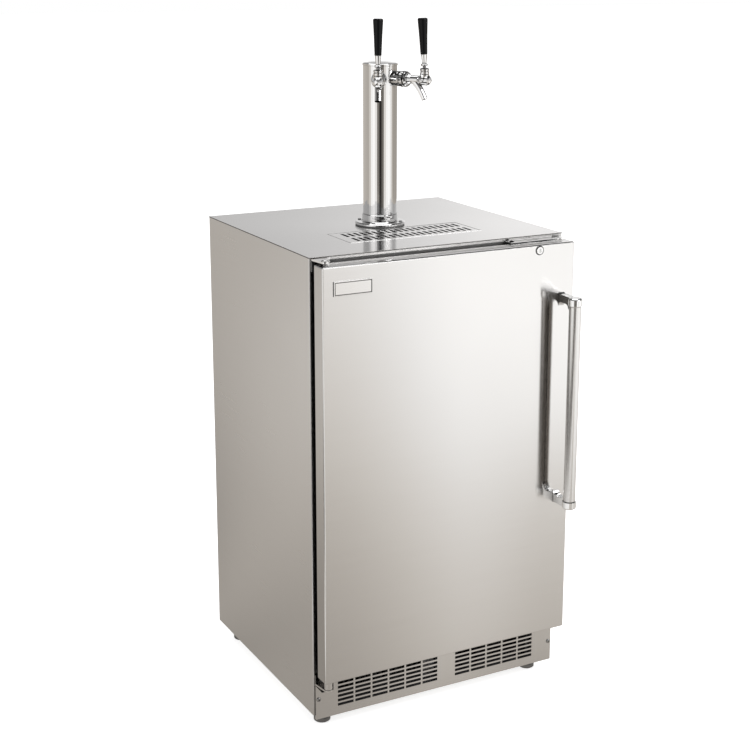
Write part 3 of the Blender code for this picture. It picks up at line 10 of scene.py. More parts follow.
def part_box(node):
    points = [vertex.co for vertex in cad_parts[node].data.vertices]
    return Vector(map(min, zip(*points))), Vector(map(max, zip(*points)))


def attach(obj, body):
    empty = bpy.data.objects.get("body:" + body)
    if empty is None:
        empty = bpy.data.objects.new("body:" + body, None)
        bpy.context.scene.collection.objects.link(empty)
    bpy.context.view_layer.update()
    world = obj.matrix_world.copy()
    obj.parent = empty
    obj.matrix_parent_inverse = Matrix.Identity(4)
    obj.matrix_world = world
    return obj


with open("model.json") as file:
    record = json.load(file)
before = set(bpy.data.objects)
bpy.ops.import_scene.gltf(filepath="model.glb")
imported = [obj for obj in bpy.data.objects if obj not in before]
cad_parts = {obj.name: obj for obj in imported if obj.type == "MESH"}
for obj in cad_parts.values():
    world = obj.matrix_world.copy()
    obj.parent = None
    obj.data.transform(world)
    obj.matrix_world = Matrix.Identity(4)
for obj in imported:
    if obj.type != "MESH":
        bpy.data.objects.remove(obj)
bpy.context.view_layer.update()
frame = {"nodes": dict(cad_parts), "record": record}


# Shader helpers

BUMP_DISTANCE = 0.001


def socket_of(node, name):
    """The input of that name that the node's settings leave switched on."""
    for socket in node.inputs:
        if socket.name == name and socket.enabled:
            return socket
    raise KeyError(name)


def add(tree, kind, values=None, **settings):
    """A node with its settings, its input values and its incoming links."""
    node = tree.nodes.new(kind)
    for key, value in settings.items():
        setattr(node, key, value)
    for key, value in (values or {}).items():
        socket = node.inputs[key] if isinstance(key, int) else socket_of(node, key)
        if isinstance(value, bpy.types.NodeSocket):
            tree.links.new(value, socket)
        else:
            socket.default_value = value
    return node


def math_node(tree, operation, first, second=0.0):
    return add(tree, "ShaderNodeMath", {0: first, 1: second}, operation=operation).outputs[0]


def ramp(tree, value, low, high, out_low, out_high):
    """A smooth step between two levels."""
    node = add(
        tree, "ShaderNodeMapRange",
        {"Value": value, "From Min": low, "From Max": high, "To Min": out_low, "To Max": out_high},
    )
    node.interpolation_type = "SMOOTHSTEP"
    return node.outputs[0]


def noise(tree, place, scale, detail, roughness=0.5):
    values = {"Vector": place, "Scale": scale, "Detail": detail, "Roughness": roughness}
    return add(tree, "ShaderNodeTexNoise", values)


def bumped(tree, height, strength):
    """A normal from a height pattern."""
    values = {"Strength": strength, "Distance": BUMP_DISTANCE, "Height": height}
    return add(tree, "ShaderNodeBump", values).outputs[0]


def mix_colour(tree, factor, first, second):
    node = add(tree, "ShaderNodeMix", data_type="RGBA", blend_type="MIX")
    for index, value in ((0, factor), (6, first), (7, second)):
        if isinstance(value, bpy.types.NodeSocket):
            tree.links.new(value, node.inputs[index])
        else:
            node.inputs[index].default_value = value
    return node.outputs[2]


def shader_group(name, inputs, outputs):
    """An empty shader group with its sockets, and its input and output nodes."""
    tree = bpy.data.node_groups.new(name, "ShaderNodeTree")
    for label, kind, default in inputs:
        made = tree.interface.new_socket(label, in_out="INPUT", socket_type=kind)
        made.default_value = default
    for label, kind in outputs:
        tree.interface.new_socket(label, in_out="OUTPUT", socket_type=kind)
    return tree, tree.nodes.new("NodeGroupInput"), tree.nodes.new("NodeGroupOutput")


def grain_group():
    """Fine lines of a brushed sheet, with the slow unevenness of handling and wiping."""
    tree, given, result = shader_group(
        "sheet_grain",
        [("Coordinate", "NodeSocketVector", (0, 0, 0)), ("Stretch", "NodeSocketVector", (1, 1, 1)),
         ("Depth", "NodeSocketFloat", 0.02)],
        [("Lines", "NodeSocketFloat"), ("Haze", "NodeSocketFloat"),
         ("Normal", "NodeSocketVector")],
    )
    place = given.outputs["Coordinate"]
    spread = add(tree, "ShaderNodeVectorMath", {0: place, 1: given.outputs["Stretch"]},
                 operation="MULTIPLY").outputs[0]
    broad = add(tree, "ShaderNodeVectorMath", {0: spread, 1: (0.13, 0.13, 0.13)},
                operation="MULTIPLY").outputs[0]
    fine = noise(tree, spread, 1.0, 2.0, 0.6).outputs[0]
    coarse = noise(tree, broad, 1.0, 1.0).outputs[0]
    lines = math_node(tree, "ADD", math_node(tree, "MULTIPLY", fine, 0.7),
                      math_node(tree, "MULTIPLY", coarse, 0.3))
    haze = noise(tree, place, 5.0, 3.0, 0.55).outputs[0]
    tree.links.new(lines, result.inputs["Lines"])
    tree.links.new(haze, result.inputs["Haze"])
    tree.links.new(bumped(tree, fine, given.outputs["Depth"]), result.inputs["Normal"])
    return tree


def nook_group():
    """A colour with painted shade: darkened where neighbouring surfaces close it in."""
    tree, given, result = shader_group(
        "nook_shade",
        [("Colour", "NodeSocketColor", (1, 1, 1, 1)), ("Dark", "NodeSocketColor", (0, 0, 0, 1)),
         ("Reach", "NodeSocketFloat", 0.02), ("Shut", "NodeSocketFloat", 0.2),
         ("Clear", "NodeSocketFloat", 0.7)],
        [("Colour", "NodeSocketColor")],
    )
    dark, reach, shut, clear = (given.outputs[name] for name in ("Dark", "Reach", "Shut", "Clear"))
    around = add(tree, "ShaderNodeAmbientOcclusion", {"Distance": reach}, samples=6).outputs["AO"]
    open_share = ramp(tree, around, shut, clear, 0.0, 1.0)
    shaded = mix_colour(tree, open_share, dark, given.outputs["Colour"])
    tree.links.new(shaded, result.inputs["Colour"])
    return tree


def faces_group():
    """Masks for a folded sheet's painted shade: its sides, its turned-down lip and the fold along
    a top edge.
    """
    tree, given, result = shader_group(
        "sheet_faces",
        [("Facing", "NodeSocketVector", (0, 0, 1))],
        [("Side", "NodeSocketFloat"), ("Lip", "NodeSocketFloat"), ("Fold", "NodeSocketFloat")],
    )
    facing = add(tree, "ShaderNodeSeparateXYZ", {0: given.outputs["Facing"]})
    sideways = math_node(tree, "ABSOLUTE", facing.outputs[0])
    rise = facing.outputs[2]
    level = math_node(tree, "ABSOLUTE", rise)
    fold_starts = ramp(tree, rise, 0.10, 0.35, 0.0, 1.0)
    fold_ends = ramp(tree, rise, 0.975, 0.998, 1.0, 0.0)
    fold = math_node(tree, "MULTIPLY", fold_starts, fold_ends)
    tree.links.new(ramp(tree, sideways, 0.80, 0.97, 0.0, 1.0), result.inputs["Side"])
    tree.links.new(ramp(tree, level, 0.30, 0.60, 1.0, 0.0), result.inputs["Lip"])
    tree.links.new(fold, result.inputs["Fold"])
    return tree


GRAIN = grain_group()
NOOK = nook_group()
FACES = faces_group()
TOP_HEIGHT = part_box("top_panel")[1][2]
CREASE_SHADE_BAND = (0.0022, 0.0010)


def new_material(name):
    made = bpy.data.materials.new(name)
    made.use_nodes = True
    tree = made.node_tree
    return made, tree, tree.nodes["Principled BSDF"]


def object_place(tree):
    return add(tree, "ShaderNodeTexCoord").outputs["Object"]


def use_group(tree, group, values):
    node = add(tree, "ShaderNodeGroup", node_tree=group)
    for key, value in values.items():
        if isinstance(value, bpy.types.NodeSocket):
            tree.links.new(value, node.inputs[key])
        else:
            node.inputs[key].default_value = value
    return node


def grey(value, warm=0.0):
    """A grey, with a little more red and less blue where it is warm."""
    return (value * (1 + warm), value, value * (1 - warm), 1)


def painted_nook_shade(tree, colour, nook):
    """The colour, with painted shade in nooks. The four numbers are how far a nook reaches, the
    open shares where its painted shade is full and where it ends, and the shade's tone."""
    reach, shut, clear, tone = nook
    values = {"Colour": colour, "Dark": grey(tone, 0.1)}
    values.update({"Reach": reach, "Shut": shut, "Clear": clear})
    return use_group(tree, NOOK, values).outputs["Colour"]


def facing_shade_colour(tree, colour, place, tones, with_lip):
    """The colour of a folded sheet, with painted shade by facing: darker tones on its sides, its
    lip and its fold.
    """
    side_shade_tone, lip_shade_tone, fold_shade_tone = tones
    facing = add(tree, "ShaderNodeTexCoord").outputs["Normal"]
    faces = use_group(tree, FACES, {"Facing": facing})
    if with_lip:
        height = add(tree, "ShaderNodeSeparateXYZ", {0: place}).outputs[2]
        # Painted shade: the lip takes a darker tone, with a dark painted shade line just under the
        # top edge.
        crease = ramp(tree, height, TOP_HEIGHT - CREASE_SHADE_BAND[0], TOP_HEIGHT - CREASE_SHADE_BAND[1], 0.0, 1.0)
        lip = mix_colour(tree, crease, grey(lip_shade_tone, 0.01), grey(0.10, 0.05))
        return mix_colour(tree, faces.outputs["Lip"], colour, lip)
    colour = mix_colour(tree, faces.outputs["Side"], colour, grey(side_shade_tone, 0.01))
    return mix_colour(tree, faces.outputs["Fold"], colour, grey(fold_shade_tone, 0.01))


def brushed(name, stretch, tone=0.80, rough=(0.20, 0.30), depth=0.01, aniso=0.55,
            nook=(0.03, 0.2, 0.75, 0.02), side_shade_tone=1.0, lip_shade_tone=1.0, fold_shade_tone=1.0, bend=0.0):
    """Brushed stainless sheet. The stretch is large across the grain and small along it.
    The folded sides, the top's turned-down lip with a painted dark shade line along its top, and
    the fold along a top edge can take darker tones of painted shade, the nook setting paints shade
    into hollows, and a bend is the radius that softens sharp edges."""
    made, tree, shader = new_material(name)
    place = object_place(tree)
    grain = use_group(tree, GRAIN, {"Coordinate": place, "Stretch": stretch, "Depth": depth})
    lines, haze = grain.outputs["Lines"], grain.outputs["Haze"]
    colour = mix_colour(tree, lines, grey(tone * 0.975, 0.008), grey(tone * 1.02, 0.006))
    hazy = ramp(tree, haze, 0.35, 0.7, 0.0, 0.10)
    colour = mix_colour(tree, hazy, colour, grey(tone * 0.93, 0.015))
    # Painted shade: darker tones on the sides, the lip and the fold, by the way they face.
    if min(side_shade_tone, lip_shade_tone, fold_shade_tone) < 1:
        tones = (tone * side_shade_tone, tone * lip_shade_tone, tone * fold_shade_tone)
        colour = facing_shade_colour(tree, colour, place, tones, lip_shade_tone < 1)
    # Painted shade in the nooks.
    tree.links.new(painted_nook_shade(tree, colour, nook), shader.inputs["Base Color"])
    span = rough[1] - rough[0]
    by_lines = ramp(tree, lines, 0.3, 0.7, rough[0], rough[0] + span * 0.6)
    by_haze = ramp(tree, haze, 0.3, 0.7, 0.0, span * 0.4)
    tree.links.new(math_node(tree, "ADD", by_lines, by_haze), shader.inputs["Roughness"])
    normal = grain.outputs["Normal"]
    if bend > 0:
        values = {"Radius": bend, "Normal": normal}
        normal = add(tree, "ShaderNodeBevel", values, samples=4).outputs[0]
    tree.links.new(normal, shader.inputs["Normal"])
    shader.inputs["Metallic"].default_value = 1.0
    shader.inputs["Anisotropic"].default_value = aniso
    shader.inputs["Anisotropic Rotation"].default_value = 0.25
    tangent = add(tree, "ShaderNodeTangent", direction_type="RADIAL", axis="Z")
    tree.links.new(tangent.outputs[0], shader.inputs["Tangent"])
    return made


def polished(name, tone=0.86, rough=(0.03, 0.09), nook=(0.010, 0.15, 0.80, 0.10)):
    """Mirror chrome with faint wiping marks and a little painted shade in its corners."""
    made, tree, shader = new_material(name)
    place = object_place(tree)
    smear = noise(tree, place, 38.0, 4.0, 0.6).outputs[0]
    patch = noise(tree, place, 9.0, 2.0).outputs[0]
    by_smear = ramp(tree, smear, 0.35, 0.75, rough[0], rough[1] * 0.7)
    by_patch = ramp(tree, patch, 0.45, 0.75, 0.0, rough[1] * 0.3)
    tree.links.new(math_node(tree, "ADD", by_smear, by_patch), shader.inputs["Roughness"])
    tree.links.new(painted_nook_shade(tree, grey(tone), nook), shader.inputs["Base Color"])
    shader.inputs["Metallic"].default_value = 1.0
    return made


def galvanised(name, tone=1.0):
    """Zinc-coated steel with its crystal pattern and painted shade in its nooks."""
    made, tree, shader = new_material(name)
    place = object_place(tree)
    bent = noise(tree, place, 30.0, 2.0).outputs["Color"]
    shifted = add(tree, "ShaderNodeVectorMath", {0: place, 1: bent}, operation="ADD").outputs[0]
    warped = mix_colour(tree, 0.03, place, shifted)
    crystal = add(tree, "ShaderNodeTexVoronoi", {"Vector": warped, "Scale": 130.0})
    shade = add(tree, "ShaderNodeSeparateColor", {"Color": crystal.outputs["Color"]}).outputs[0]
    dull = (tone * 0.50, tone * 0.51, tone * 0.52, 1)
    bright = (tone * 0.66, tone * 0.67, tone * 0.68, 1)
    colour = painted_nook_shade(tree, mix_colour(tree, shade, dull, bright), (0.03, 0.1, 0.7, 0.05))
    tree.links.new(colour, shader.inputs["Base Color"])
    tree.links.new(ramp(tree, shade, 0.0, 1.0, 0.32, 0.5), shader.inputs["Roughness"])
    shader.inputs["Metallic"].default_value = 0.9
    return made


def moulded(name, colour, rough, pebble=420.0, depth=0.08, speckle=0.04, shine=0.5,
            nook=(0.02, 0.1, 0.7, 0.01)):
    """Moulded plastic, rubber or enamel, with a fine texture, slight colour change and painted
    shade in its nooks.
    """
    made, tree, shader = new_material(name)
    place = object_place(tree)
    fine = noise(tree, place, pebble, 3.0).outputs[0]
    slow = noise(tree, place, 7.0, 3.0).outputs[0]
    tree.links.new(bumped(tree, fine, depth), shader.inputs["Normal"])
    darker = tuple(share * (1 - speckle) for share in colour) + (1,)
    lighter = tuple(min(1, share * (1 + speckle)) for share in colour) + (1,)
    varied = painted_nook_shade(tree, mix_colour(tree, slow, darker, lighter), nook)
    tree.links.new(varied, shader.inputs["Base Color"])
    level = ramp(tree, fine, 0.3, 0.7, rough * 0.9, min(1, rough * 1.12))
    tree.links.new(level, shader.inputs["Roughness"])
    shader.inputs["Specular IOR Level"].default_value = shine
    return made


def foam_material(name):
    """Poured foam with fine open cells."""
    made, tree, shader = new_material(name)
    place = object_place(tree)
    cells = add(tree, "ShaderNodeTexVoronoi", {"Vector": place, "Scale": 600.0})
    cloud = noise(tree, place, 20.0, 4.0).outputs[0]
    tree.links.new(bumped(tree, cells.outputs["Distance"], 0.5), shader.inputs["Normal"])
    colour = mix_colour(tree, cloud, (0.80, 0.70, 0.46, 1), (0.90, 0.84, 0.66, 1))
    tree.links.new(colour, shader.inputs["Base Color"])
    shader.inputs["Roughness"].default_value = 0.95
    return made


def fin_material(name):
    """Pressed aluminium fins with faint dust."""
    made, tree, shader = new_material(name)
    values = {"Coordinate": object_place(tree), "Stretch": (60, 60, 900), "Depth": 0.1}
    grain = use_group(tree, GRAIN, values)
    colour = mix_colour(tree, grain.outputs["Haze"], (0.50, 0.51, 0.52, 1), (0.74, 0.75, 0.76, 1))
    level = ramp(tree, grain.outputs["Lines"], 0.3, 0.7, 0.3, 0.5)
    tree.links.new(colour, shader.inputs["Base Color"])
    tree.links.new(level, shader.inputs["Roughness"])
    tree.links.new(grain.outputs["Normal"], shader.inputs["Normal"])
    shader.inputs["Metallic"].default_value = 1.0
    return made


# Finishes, with painted shade in their nooks and on folded faces

ACROSS = (12, 12, 1300)
FROM_SIDE_TO_SIDE = (12, 1300, 1300)

FACE_STEEL = brushed("steel_across", ACROSS, rough=(0.12, 0.16), depth=0.008, aniso=0.95)
# A darker copy of the front steel: its lower tone is painted shade on the low kick panel.
SHADED_KICK_STEEL = brushed("steel_kick", ACROSS, 0.765, (0.12, 0.16), depth=0.008, aniso=0.95)
# Painted shade: darker tones on the door's folded sides and its top fold.
DOOR_STEEL = brushed(
    "steel_door", ACROSS, rough=(0.12, 0.16), depth=0.008, aniso=0.95,
    nook=(0.008, 0.05, 0.5, 0.02), side_shade_tone=0.76, fold_shade_tone=0.68,
)
# Painted shade: a darker tone on the top's front lip, with a dark line under its edge.
TOP_STEEL = brushed(
    "steel_top", FROM_SIDE_TO_SIDE, rough=(0.10, 0.16), depth=0.006,
    nook=(0.010, 0.05, 0.5, 0.02), lip_shade_tone=0.74, bend=0.0014,
)
TRAY_STEEL = brushed(
    "steel_tray", FROM_SIDE_TO_SIDE, rough=(0.10, 0.16), depth=0.006,
    nook=(0.014, 0.15, 0.6, 0.01),
)
SIDE_STEEL = brushed(
    "steel_side", (900, 9, 900), rough=(0.27, 0.31), depth=0.003,
    nook=(0.04, 0.45, 0.90, 0.012),
)
BAR_STEEL = brushed(
    "steel_bar", (60, 60, 2200), rough=(0.12, 0.18), aniso=0.8,
    nook=(0.09, 0.45, 0.92, 0.16),
)
PLATE_STEEL = brushed(
    "steel_plate", (60, 60, 2400), tone=0.88, rough=(0.12, 0.18), aniso=0.6,
    nook=(0.0032, 0.30, 0.97, 0.02),
)
# Its low tone paints the shade of the seam around the drip tray.
RIM_SHADE_STEEL = brushed("steel_rim", (1300, 1300, 60), tone=0.50, nook=(0.002, 0.2, 0.8, 0.06))
CHROME = polished("chrome")
SCREW_STEEL = polished("screw_steel", 0.45, (0.12, 0.22), (0.0030, 0.35, 0.98, 0.01))
LOCK_CHROME = polished("chrome_lock", tone=0.84, nook=(0.0035, 0.30, 0.95, 0.03))
TAP_CHROME = polished("chrome_taps", 0.84, (0.02, 0.06), (0.022, 0.35, 0.95, 0.04))
# The brackets' wide nook paints deep shade on them close to the door.
GRIP_CHROME = polished("chrome_grip", tone=0.84, nook=(0.060, 0.35, 0.73, 0.04))
ZINC = galvanised("zinc_sheet")
# A darker copy of the zinc: its lower tone is painted shade on the feet under the cabinet.
SHADED_FOOT_ZINC = galvanised("zinc_foot", 0.55)
LINER = moulded("liner", (0.80, 0.81, 0.81), 0.35, pebble=260.0, depth=0.12)
FOAM = foam_material("foam")
RUBBER = moulded("rubber", (0.045, 0.045, 0.047), 0.6, pebble=900.0, depth=0.2, speckle=0.12)
BLACK = moulded(
    "black_gloss", (0.005, 0.005, 0.0055), 0.22, pebble=500.0, depth=0.02, speckle=0.1,
    shine=0.18,
)
ENAMEL = moulded("black_enamel_coat", (0.018, 0.018, 0.019), 0.30, pebble=350.0, depth=0.1)
FINS = fin_material("fins")
DARK_COIL = moulded(
    "coated_coil", (0.020, 0.020, 0.021), 0.5, pebble=300.0, depth=0.1, speckle=0.2,
)
GASKET = moulded(
    "tower_seal", (0.20, 0.20, 0.20), 0.6, pebble=900.0, depth=0.2,
    nook=(0.002, 0.1, 0.7, 0.08),
)

BY_SLOT = {
    "brushed_steel": FACE_STEEL,
    "galvanised_steel": ZINC,
    "polished_chrome": CHROME,
    "liner_plastic": LINER,
    "insulation_foam": FOAM,
    "grey_rubber": RUBBER,
    "black_plastic": BLACK,
    "black_enamel": ENAMEL,
    "fin_aluminium": FINS,
}
BY_NODE = {
    "top_panel": TOP_STEEL,
    "kick_grille": SHADED_KICK_STEEL,
    "drip_tray_grille": TRAY_STEEL,
    "drip_tray_pan": TRAY_STEEL,
    "side_panel_left": SIDE_STEEL,
    "side_panel_right": SIDE_STEEL,
    "door_skin": DOOR_STEEL,
    "handle_bar": BAR_STEEL,
    "lock_barrel": LOCK_CHROME,
    "lock_strike": LOCK_CHROME,
    "lock_plug": LOCK_CHROME,
    "tower_gasket": GASKET,
    "handle_bracket_lower": GRIP_CHROME,
    "handle_bracket_upper": GRIP_CHROME,
    "condenser_coil": DARK_COIL,
}
for side in ("left", "right"):
    for row in ("front", "rear"):
        BY_NODE["foot_%s_%s" % (row, side)] = SHADED_FOOT_ZINC
    for part in ("shank_collar", "coupling_nut", "faucet_body", "faucet_bonnet", "tap_lever"):
        BY_NODE["%s_%s" % (part, side)] = TAP_CHROME
for entry in frame["record"]["subparts"]:
    node = frame["nodes"][entry["node"]]
    look = BY_NODE.get(entry["node"], BY_SLOT[entry["material_slot"]])
    if not node.material_slots:
        node.data.materials.append(look)
    for place in node.material_slots:
        place.material = look


# Mesh helpers

SHARP_ANGLE = math.radians(35)


def linked(name, data):
    """A new object with that mesh, camera or lamp."""
    made = bpy.data.objects.new(name, data)
    bpy.context.collection.objects.link(made)
    return made


def plain_mesh(name, shape):
    """A mesh from a bmesh, which is let go."""
    mesh = bpy.data.meshes.new(name)
    shape.to_mesh(mesh)
    shape.free()
    return mesh


def evaluated_mesh(thing):
    """The mesh that an object's modifiers make."""
    bpy.context.view_layer.update()
    graph = bpy.context.evaluated_depsgraph_get()
    return bpy.data.meshes.new_from_object(thing.evaluated_get(graph))


def smoothed(mesh):
    mesh.shade_smooth()
    mesh.set_sharp_from_angle(angle=SHARP_ANGLE)


def finished(name, shape, look, body, smooth=True):
    """A plain mesh piece at the origin, with its look, riding on a body."""
    bmesh.ops.recalc_face_normals(shape, faces=shape.faces)
    made = linked(name, plain_mesh(name, shape))
    made.data.materials.append(look)
    if smooth:
        smoothed(made.data)
    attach(made, body)


def add_block(shape, low, high):
    """A box between two corners."""
    made = bmesh.ops.create_cube(shape, size=2)["verts"]
    for vert in made:
        vert.co = Vector([(a + b + (b - a) * side) / 2 for a, b, side in zip(low, high, vert.co)])


def add_turned(shape, profile, segments, matrix=Matrix()):
    """Rings of (radius, height) about Z, closed where the radius is zero."""
    rings = []
    for radius, height in profile:
        if radius == 0:
            rings.append([shape.verts.new(matrix @ Vector((0, 0, height)))])
            continue
        ring = []
        for index in range(segments):
            angle = 2 * math.pi * index / segments
            spot = Vector((radius * math.cos(angle), radius * math.sin(angle), height))
            ring.append(shape.verts.new(matrix @ spot))
        rings.append(ring)
    for lower, upper in zip(rings, rings[1:]):
        for index in range(segments):
            after = (index + 1) % segments
            if len(lower) == 1:
                shape.faces.new((lower[0], upper[after], upper[index]))
            elif len(upper) == 1:
                shape.faces.new((lower[index], lower[after], upper[0]))
            else:
                shape.faces.new((lower[index], lower[after], upper[after], upper[index]))


# Screws, set out by geometry nodes

HEAD_PROFILE = (
    (0, 0), (1.0, 0), (1.0, 0.22), (0.93, 0.36), (0.78, 0.48), (0.55, 0.56), (0.3, 0.6), (0, 0.61),
)
RECESS_ARM = 0.52
RECESS_WIDTH = 0.11
RECESS_FLOOR = 0.28


def screw_head():
    """A pan head with a cross recess, of unit radius, facing +Z and standing on Z = 0."""
    shape = bmesh.new()
    add_turned(shape, HEAD_PROFILE, 24)
    bmesh.ops.recalc_face_normals(shape, faces=shape.faces)
    head = linked("screw_head", plain_mesh("screw_head", shape))
    for wide, tall in ((RECESS_ARM, RECESS_WIDTH), (RECESS_WIDTH, RECESS_ARM)):
        shape = bmesh.new()
        add_block(shape, (-wide, -tall, RECESS_FLOOR), (wide, tall, 0.9))
        cutter = linked("recess", plain_mesh("recess", shape))
        step = head.modifiers.new("recess", "BOOLEAN")
        step.operation = "DIFFERENCE"
        step.solver = "EXACT"
        step.object = cutter
        fresh = evaluated_mesh(head)
        head.modifiers.clear()
        head.data = fresh
        bpy.data.objects.remove(cutter, do_unlink=True)
    return head


def screw_nodes():
    """Geometry nodes that stand a head on every point, turned to its facing and a spin."""
    tree = bpy.data.node_groups.new("set_screws", "GeometryNodeTree")
    for label, kind in (
        ("Points", "NodeSocketGeometry"), ("Head", "NodeSocketObject"),
        ("Radius", "NodeSocketFloat"), ("Finish", "NodeSocketMaterial"),
    ):
        tree.interface.new_socket(label, in_out="INPUT", socket_type=kind)
    tree.interface.new_socket("Screws", in_out="OUTPUT", socket_type="NodeSocketGeometry")
    given = tree.nodes.new("NodeGroupInput")
    result = tree.nodes.new("NodeGroupOutput")
    head = add(tree, "GeometryNodeObjectInfo", {"Object": given.outputs["Head"]})
    facing = add(tree, "GeometryNodeInputNamedAttribute", data_type="FLOAT_VECTOR")
    facing.inputs["Name"].default_value = "facing"
    values = {"Vector": facing.outputs["Attribute"]}
    turn = add(tree, "FunctionNodeAlignRotationToVector", values, axis="Z")
    spin = add(tree, "FunctionNodeRandomValue", data_type="FLOAT")
    spin.inputs["Seed"].default_value = 7
    angle = math_node(tree, "MULTIPLY", spin.outputs[1], math.pi)
    values = {"Axis": (0, 0, 1), "Angle": angle}
    own_turn = add(tree, "FunctionNodeAxisAngleToRotation", values)
    values = {"Rotation": turn.outputs[0], "Rotate By": own_turn.outputs[0]}
    both = add(tree, "FunctionNodeRotateRotation", values, rotation_space="LOCAL")
    radius = given.outputs["Radius"]
    size = add(tree, "ShaderNodeCombineXYZ", {0: radius, 1: radius, 2: radius})
    stand = add(tree, "GeometryNodeInstanceOnPoints", {
        "Points": given.outputs["Points"], "Instance": head.outputs["Geometry"],
        "Rotation": both.outputs[0], "Scale": size.outputs[0],
    })
    real = add(tree, "GeometryNodeRealizeInstances", {0: stand.outputs[0]})
    values = {"Geometry": real.outputs[0], "Material": given.outputs["Finish"]}
    paint = add(tree, "GeometryNodeSetMaterial", values)
    tree.links.new(paint.outputs[0], result.inputs[0])
    return tree


HEAD = screw_head()
SCREWS = screw_nodes()


def screws(name, places, radius, look=SCREW_STEEL, body="cabinet"):
    """One mesh of screws. The places are (point on the surface, facing) pairs."""
    mesh = bpy.data.meshes.new(name + "_points")
    mesh.from_pydata([tuple(point) for point, _ in places], [], [])
    field = mesh.attributes.new("facing", "FLOAT_VECTOR", "POINT")
    for index, (_, way) in enumerate(places):
        field.data[index].vector = way
    holder = linked(name + "_points", mesh)
    step = holder.modifiers.new("set", "NODES")
    step.node_group = SCREWS
    for item in SCREWS.interface.items_tree:
        if item.in_out == "INPUT" and item.name != "Points":
            step[item.identifier] = {"Head": HEAD, "Radius": radius, "Finish": look}[item.name]
    made = linked(name, evaluated_mesh(holder))
    bpy.data.objects.remove(holder, do_unlink=True)
    smoothed(made.data)
    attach(made, body)


KICK_SCREW_SIDE = 0.2485
KICK_SCREW_HEIGHT = 0.0388
FLANGE_SCREW_RING = 0.0405
FLANGE_LIP = 0.0045
BACK_SCREW_SIDE = 0.247
BACK_SCREW_HEIGHTS = (0.06, 0.22, 0.40, 0.58, 0.76, 0.86)
BACK_EDGE_SCREWS = (-0.12, 0.0, 0.12)
BACK_EDGE_HEIGHTS = (0.045, 0.865)
COVER_SCREW_SIDE = 0.138
COVER_SCREW_INSET = 0.012
STRIKE_SCREW = (0.1425, -0.1850)


def set_all_screws():
    kick_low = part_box("kick_grille")[0]
    height = kick_low[2] + KICK_SCREW_HEIGHT
    places = [((side * KICK_SCREW_SIDE, kick_low[1], height), (0, -1, 0)) for side in (-1, 1)]
    screws("kick_screws", places, 0.0042)

    low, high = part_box("tower_flange")
    x, y = (low[0] + high[0]) / 2, (low[1] + high[1]) / 2
    places = []
    for index in range(4):
        angle = math.radians(45 + 90 * index)
        across = FLANGE_SCREW_RING * math.cos(angle)
        along = FLANGE_SCREW_RING * math.sin(angle)
        places.append(((x + across, y + along, low[2] + FLANGE_LIP), (0, 0, 1)))
    screws("flange_screws", places, 0.0034)

    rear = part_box("back_panel")[1][1]
    spots = [(side * BACK_SCREW_SIDE, z) for z in BACK_SCREW_HEIGHTS for side in (-1, 1)]
    spots += [(x, z) for x in BACK_EDGE_SCREWS for z in BACK_EDGE_HEIGHTS]
    screws("back_screws", [((x, rear, z), (0, 1, 0)) for x, z in spots], 0.0036)

    low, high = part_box("evaporator_cover")
    heights = (low[2] + COVER_SCREW_INSET, high[2] - COVER_SCREW_INSET)
    spots = [(side * COVER_SCREW_SIDE, z) for side in (-1, 1) for z in heights]
    screws("cover_screws", [((x, low[1], z), (0, -1, 0)) for x, z in spots], 0.0034)


set_all_screws()


# Small trim

DOOR_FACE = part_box("door_skin")[0][1]


def add_frame(shape, outline, steps, place):
    """A closed rectangular moulding about an outline (low and high along each of two ways).
    Each step is an inset from the outline and a height above the surface."""
    low_a, high_a, low_b, high_b = outline
    loops = []
    for inset, rise in steps:
        corners = (
            (low_a + inset, low_b + inset), (high_a - inset, low_b + inset),
            (high_a - inset, high_b - inset), (low_a + inset, high_b - inset),
        )
        loops.append([shape.verts.new(place(a, b, rise)) for a, b in corners])
    for lower, upper in zip(loops, loops[1:]):
        add_band(shape, lower, upper)
    return loops


def add_band(shape, lower, upper):
    for index in range(4):
        after = (index + 1) % 4
        shape.faces.new((lower[index], lower[after], upper[after], upper[index]))


PLATE_OUTLINE = (-0.2336, -0.1603, 0.8156, 0.8411)
PLATE_STEPS = (
    (0.0, 0.0), (0.0, 0.0020), (0.0004, 0.0024), (0.0014, 0.0024), (0.0018, 0.0008),
    (0.0026, 0.0008), (0.0030, 0.0019),
)
TRAY_RIM_STEPS = ((0.0, 0.0), (0.0001, 0.0003), (0.0007, 0.0003), (0.0010, 0.0))


def bare_plate():
    """A bare plate with a raised rim, a fine groove and a flat face, on the door."""
    shape = bmesh.new()
    loops = add_frame(shape, PLATE_OUTLINE, PLATE_STEPS, lambda x, z, out: (x, DOOR_FACE - out, z))
    shape.faces.new(loops[0])
    shape.faces.new(loops[-1])
    finished("door_plate", shape, PLATE_STEEL, "door", smooth=False)


def tray_rim():
    """The drip tray's fine raised rim on the top, dark-toned as painted shade for the seam around
    the tray.
    """
    low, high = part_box("drip_tray_grille")
    over = 0.0006
    outline = (low[0] - over, high[0] + over, low[1] - over, high[1] + over)
    shape = bmesh.new()
    loops = add_frame(shape, outline, TRAY_RIM_STEPS, lambda x, y, rise: (x, y, high[2] + rise))
    add_band(shape, loops[-1], loops[0])
    finished("tray_rim", shape, RIM_SHADE_STEEL, "cabinet", smooth=False)


